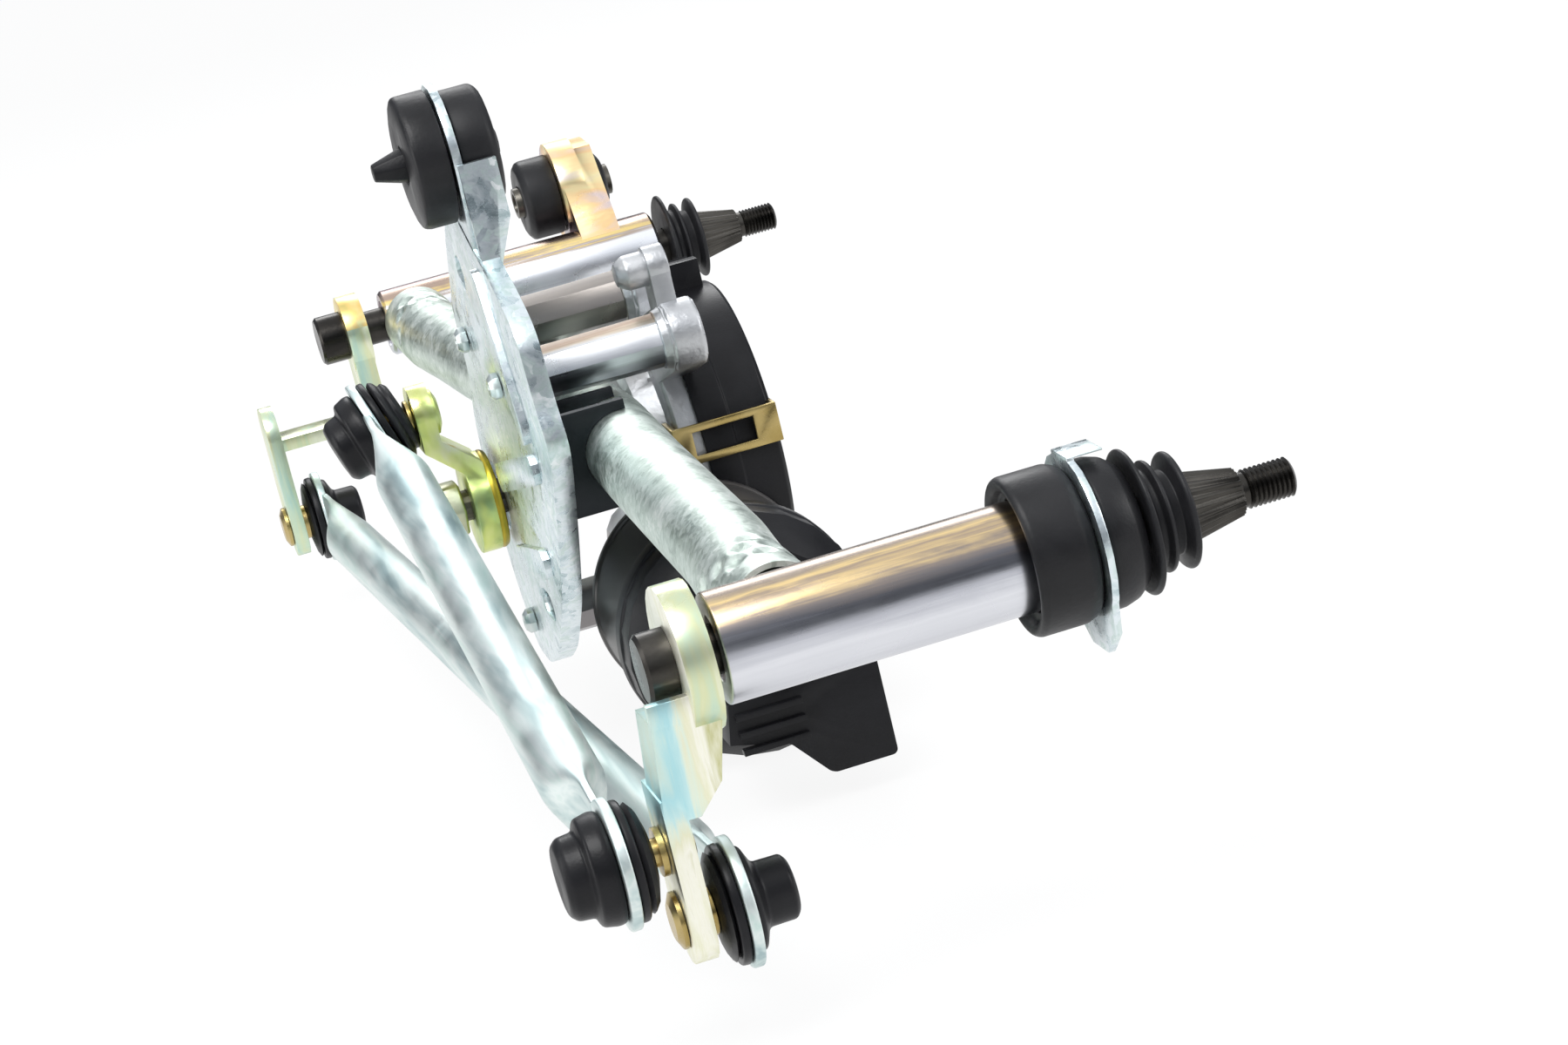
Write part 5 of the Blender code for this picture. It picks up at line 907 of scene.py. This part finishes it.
def make_crank_joint():
    """The leaning gaiter and the stud between the crank and its ball."""
    gaiter = (
        (4.2, 12.6), (5.2, 13.6), (6.4, 12.8), (7.2, 11.0), (8.4, 11.4), (9.6, 9.8), (9.9, 4.4),
        (9.0, 4.4), (7.0, 8.6), (4.2, 10.4),
    )
    boot = tilted(turned(gaiter, CRANK_BALL, rounding=0.4), CRANK_BALL, CRANK_LEAN)
    finish_piece(boot, "crank_gaiter", ("drive_rod_crank_boot",))
    pin = (
        (-6.5, 0.0), (-6.2, 2.2), (-4.9, 4.3), (-2.6, 6.0), (0.0, 6.5), (2.6, 6.0), (4.9, 4.3),
        (5.6, 3.5), (9.6, 3.5), (9.6, 6.2), (10.9, 6.2), (10.9, 0.0),
    )
    finish_piece(
        turned(pin, CRANK_BALL, rounding=0.3), "crank_ball_stud_turned", ("crank_ball_stud",),
    )
    collar = ((-4.3, 5.6), (-4.3, 15.2), (-3.0, 15.6), (-1.5, 14.8), (-1.5, 5.6))
    boss = turned(collar, CRANK_AXIS, rounding=0.4)
    finish_piece(boss, "crank_boss", ("crank_washer",), (looks["olive"],))


TUBE_RADIUS = 12.0
TUBE_WALL = 1.4
DENT_DEPTH = 1.7
DENT_REACH = 3.6

# Crimp dents of the near end as (y, angle); the far end mirrors them
DENTS = (
    (28.0, 40.0), (28.0, 78.0), (28.0, 116.0), (28.0, -10.0), (35.5, 60.0), (35.5, 98.0),
    (35.5, 136.0), (35.5, 20.0), (43.0, 46.0), (43.0, 84.0), (43.0, 170.0), (28.0, 200.0),
    (35.5, 240.0),
)


def make_tube():
    """The frame tube with its crimp dents, cut straight at both ends."""
    line = tube_line()
    moves = [
        Vector((x1 - x0, y1 - y0, 0.0)) * MM for (x0, y0), (x1, y1) in zip(line, line[1:])
    ]
    shape = drawn_ring(96, TUBE_RADIUS * MM, at(*line[0], 0.0), moves)
    bmesh.ops.recalc_face_normals(shape, faces=shape.faces)
    spots = list(DENTS) + [(PIVOT_SPACING - y, angle) for y, angle in DENTS]
    for vert in shape.verts:
        place = (vert.co - ORIGIN) / MM
        if NEAR_CRIMP_END < place.y < FAR_CRIMP_START:
            continue
        centre_x = TUBE_X if place.y < PIVOT_SPACING / 2 else FAR_TUBE_X
        angle = math.degrees(math.atan2(place.z, place.x - centre_x))
        depth = 0.0
        for dent_y, dent_angle in spots:
            turn_by = (angle - dent_angle + 180.0) % 360.0 - 180.0
            gap = math.hypot(place.y - dent_y, math.radians(turn_by) * TUBE_RADIUS)
            depth = max(depth, DENT_DEPTH * max(0.0, 1.0 - (gap / DENT_REACH) ** 2) ** 1.5)
        if depth:
            middle = at(centre_x, place.y, 0.0)
            vert.co -= (vert.co - middle).normalized() * depth * MM
    bmesh.ops.solidify(shape, geom=shape.faces, thickness=TUBE_WALL * MM)
    finish_piece(shape, "frame_tube_crimped", ("frame_tube",))


# How far the edges of each solid that keeps its shape are rounded, in millimetres
SOFTENED = {
    "far_pivot_housing": 0.5, "near_lever": 0.7, "far_lever": 0.6, "crank_arm": 0.6,
    "crank_nut": 0.4, "motor_plate": 0.45, "gearbox_housing": 0.4, "plate_grommet": 0.9,
    "plate_grommet_pin": 0.4, "far_lug_grommet": 0.8, "far_lug_sleeve": 0.3, "near_drive_stud": 0.0,
    "near_link_stud": 0.0, "far_link_stud": 0.0, "drive_rod_near_boot": 0.0,
    "link_rod_near_boot": 0.0, "link_rod_far_boot": 0.0, "plate_screw_1": 0.2, "plate_screw_2": 0.2,
    "plate_screw_3": 0.2, "cover_screw_1": 0.2, "cover_screw_2": 0.2, "cover_screw_3": 0.2,
}

dress_nodes()
make_near_housing()
make_sockets()
make_rubber_and_can()
make_shafts()
make_rods()
make_crank_joint()
make_clip()
make_ring()
make_cover()
make_tube()
for node, width in SOFTENED.items():
    softened_copy(node, width)


def make_camera():
    data = bpy.data.cameras.new("camera")
    data.lens = CAMERA_LENS
    data.sensor_width = SENSOR_WIDTH
    data.sensor_fit = "HORIZONTAL"
    data.clip_start = 0.01
    data.clip_end = 50.0
    made = bpy.data.objects.new("camera", data)
    turn = Matrix((CAMERA_RIGHT, CAMERA_UP, CAMERA_BACK)).transposed().to_4x4()
    made.matrix_world = Matrix.Translation(at(*CAMERA_PLACE)) @ turn
    bpy.context.scene.collection.objects.link(made)
    bpy.context.scene.camera = made


def area_light(name, place, target, width, height, power):
    data = bpy.data.lights.new(name, "AREA")
    data.shape = "RECTANGLE"
    data.size = width
    data.size_y = height
    data.energy = power
    made = bpy.data.objects.new(name, data)
    made.location = Vector(place)
    made.rotation_euler = (Vector(target) - Vector(place)).to_track_quat("-Z", "Y").to_euler()
    bpy.context.scene.collection.objects.link(made)


FLOOR_SIZE = 4.0
FLOOR_DROP = 0.0005
FLOOR_GLOW = 0.9


def make_floor():
    """A pale floor that the camera and mirror rays see as white, and that keeps the shadow."""
    mesh = bmesh.new()
    bmesh.ops.create_grid(mesh, x_segments=1, y_segments=1, size=FLOOR_SIZE)
    data = bpy.data.meshes.new("floor")
    mesh.to_mesh(data)
    mesh.free()
    floor = bpy.data.objects.new("floor", data)
    floor.location = (0.0, 0.0, -FLOOR_DROP)
    bpy.context.scene.collection.objects.link(floor)
    look = bpy.data.materials.new("floor")
    look.use_nodes = True
    tree = look.node_tree
    shader = tree.nodes["Principled BSDF"]
    shader.inputs["Base Color"].default_value = (0.9, 0.9, 0.9, 1.0)
    shader.inputs["Roughness"].default_value = 0.9
    data.materials.append(look)
    glow = tree.nodes.new("ShaderNodeEmission")
    path = tree.nodes.new("ShaderNodeLightPath")
    seen = tree.nodes.new("ShaderNodeMath")
    seen.operation = "MAXIMUM"
    share = tree.nodes.new("ShaderNodeMath")
    share.operation = "MULTIPLY"
    share.inputs[1].default_value = FLOOR_GLOW
    mix = tree.nodes.new("ShaderNodeMixShader")
    tree.links.new(path.outputs["Is Camera Ray"], seen.inputs[0])
    tree.links.new(path.outputs["Is Glossy Ray"], seen.inputs[1])
    tree.links.new(seen.outputs["Value"], share.inputs[0])
    tree.links.new(share.outputs["Value"], mix.inputs["Fac"])
    tree.links.new(shader.outputs["BSDF"], mix.inputs[1])
    tree.links.new(glow.outputs["Emission"], mix.inputs[2])
    tree.links.new(mix.outputs["Shader"], tree.nodes["Material Output"].inputs["Surface"])


SKY = (
    (0.00, (0.70, 0.72, 0.75)), (0.46, (0.30, 0.31, 0.33)), (0.54, (0.10, 0.105, 0.115)),
    (0.64, (0.22, 0.23, 0.25)), (0.76, (0.62, 0.65, 0.70)), (0.90, (1.00, 1.02, 1.05)),
)


def make_world():
    """A grey sky for the reflections, and white behind the part."""
    world = bpy.data.worlds.new("studio")
    bpy.context.scene.world = world
    world.use_nodes = True
    tree = world.node_tree
    surface = tree.nodes["Background"]
    place = tree.nodes.new("ShaderNodeTexCoord")
    split = tree.nodes.new("ShaderNodeSeparateXYZ")
    tree.links.new(place.outputs["Generated"], split.inputs["Vector"])
    height = add_map(tree, split.outputs["Z"], -1.0, 1.0, 0.0, 1.0)
    sky = add_ramp(tree, height.outputs["Result"], SKY)
    tree.links.new(sky.outputs["Color"], surface.inputs["Color"])
    white = tree.nodes.new("ShaderNodeBackground")
    path = tree.nodes.new("ShaderNodeLightPath")
    mix = tree.nodes.new("ShaderNodeMixShader")
    tree.links.new(path.outputs["Is Camera Ray"], mix.inputs["Fac"])
    tree.links.new(surface.outputs["Background"], mix.inputs[1])
    tree.links.new(white.outputs["Background"], mix.inputs[2])
    tree.links.new(mix.outputs["Shader"], tree.nodes["World Output"].inputs["Surface"])


def make_studio():
    middle = at(0.0, PIVOT_SPACING / 2, 0.0)
    area_light("key_light", middle + Vector((-0.5, -0.6, 1.3)), middle, 0.9, 0.7, 16.0)
    area_light("fill_light", middle + Vector((1.3, -0.7, 0.6)), middle, 0.8, 0.8, 7.0)
    area_light("back_light", middle + Vector((0.3, 1.4, 0.9)), middle, 1.0, 0.6, 8.0)
    area_light("left_light", middle + Vector((-1.4, 0.1, 0.3)), middle, 0.6, 0.9, 6.0)
    make_floor()
    make_world()
    bpy.context.scene.view_settings.view_transform = "Standard"


make_camera()
make_studio()
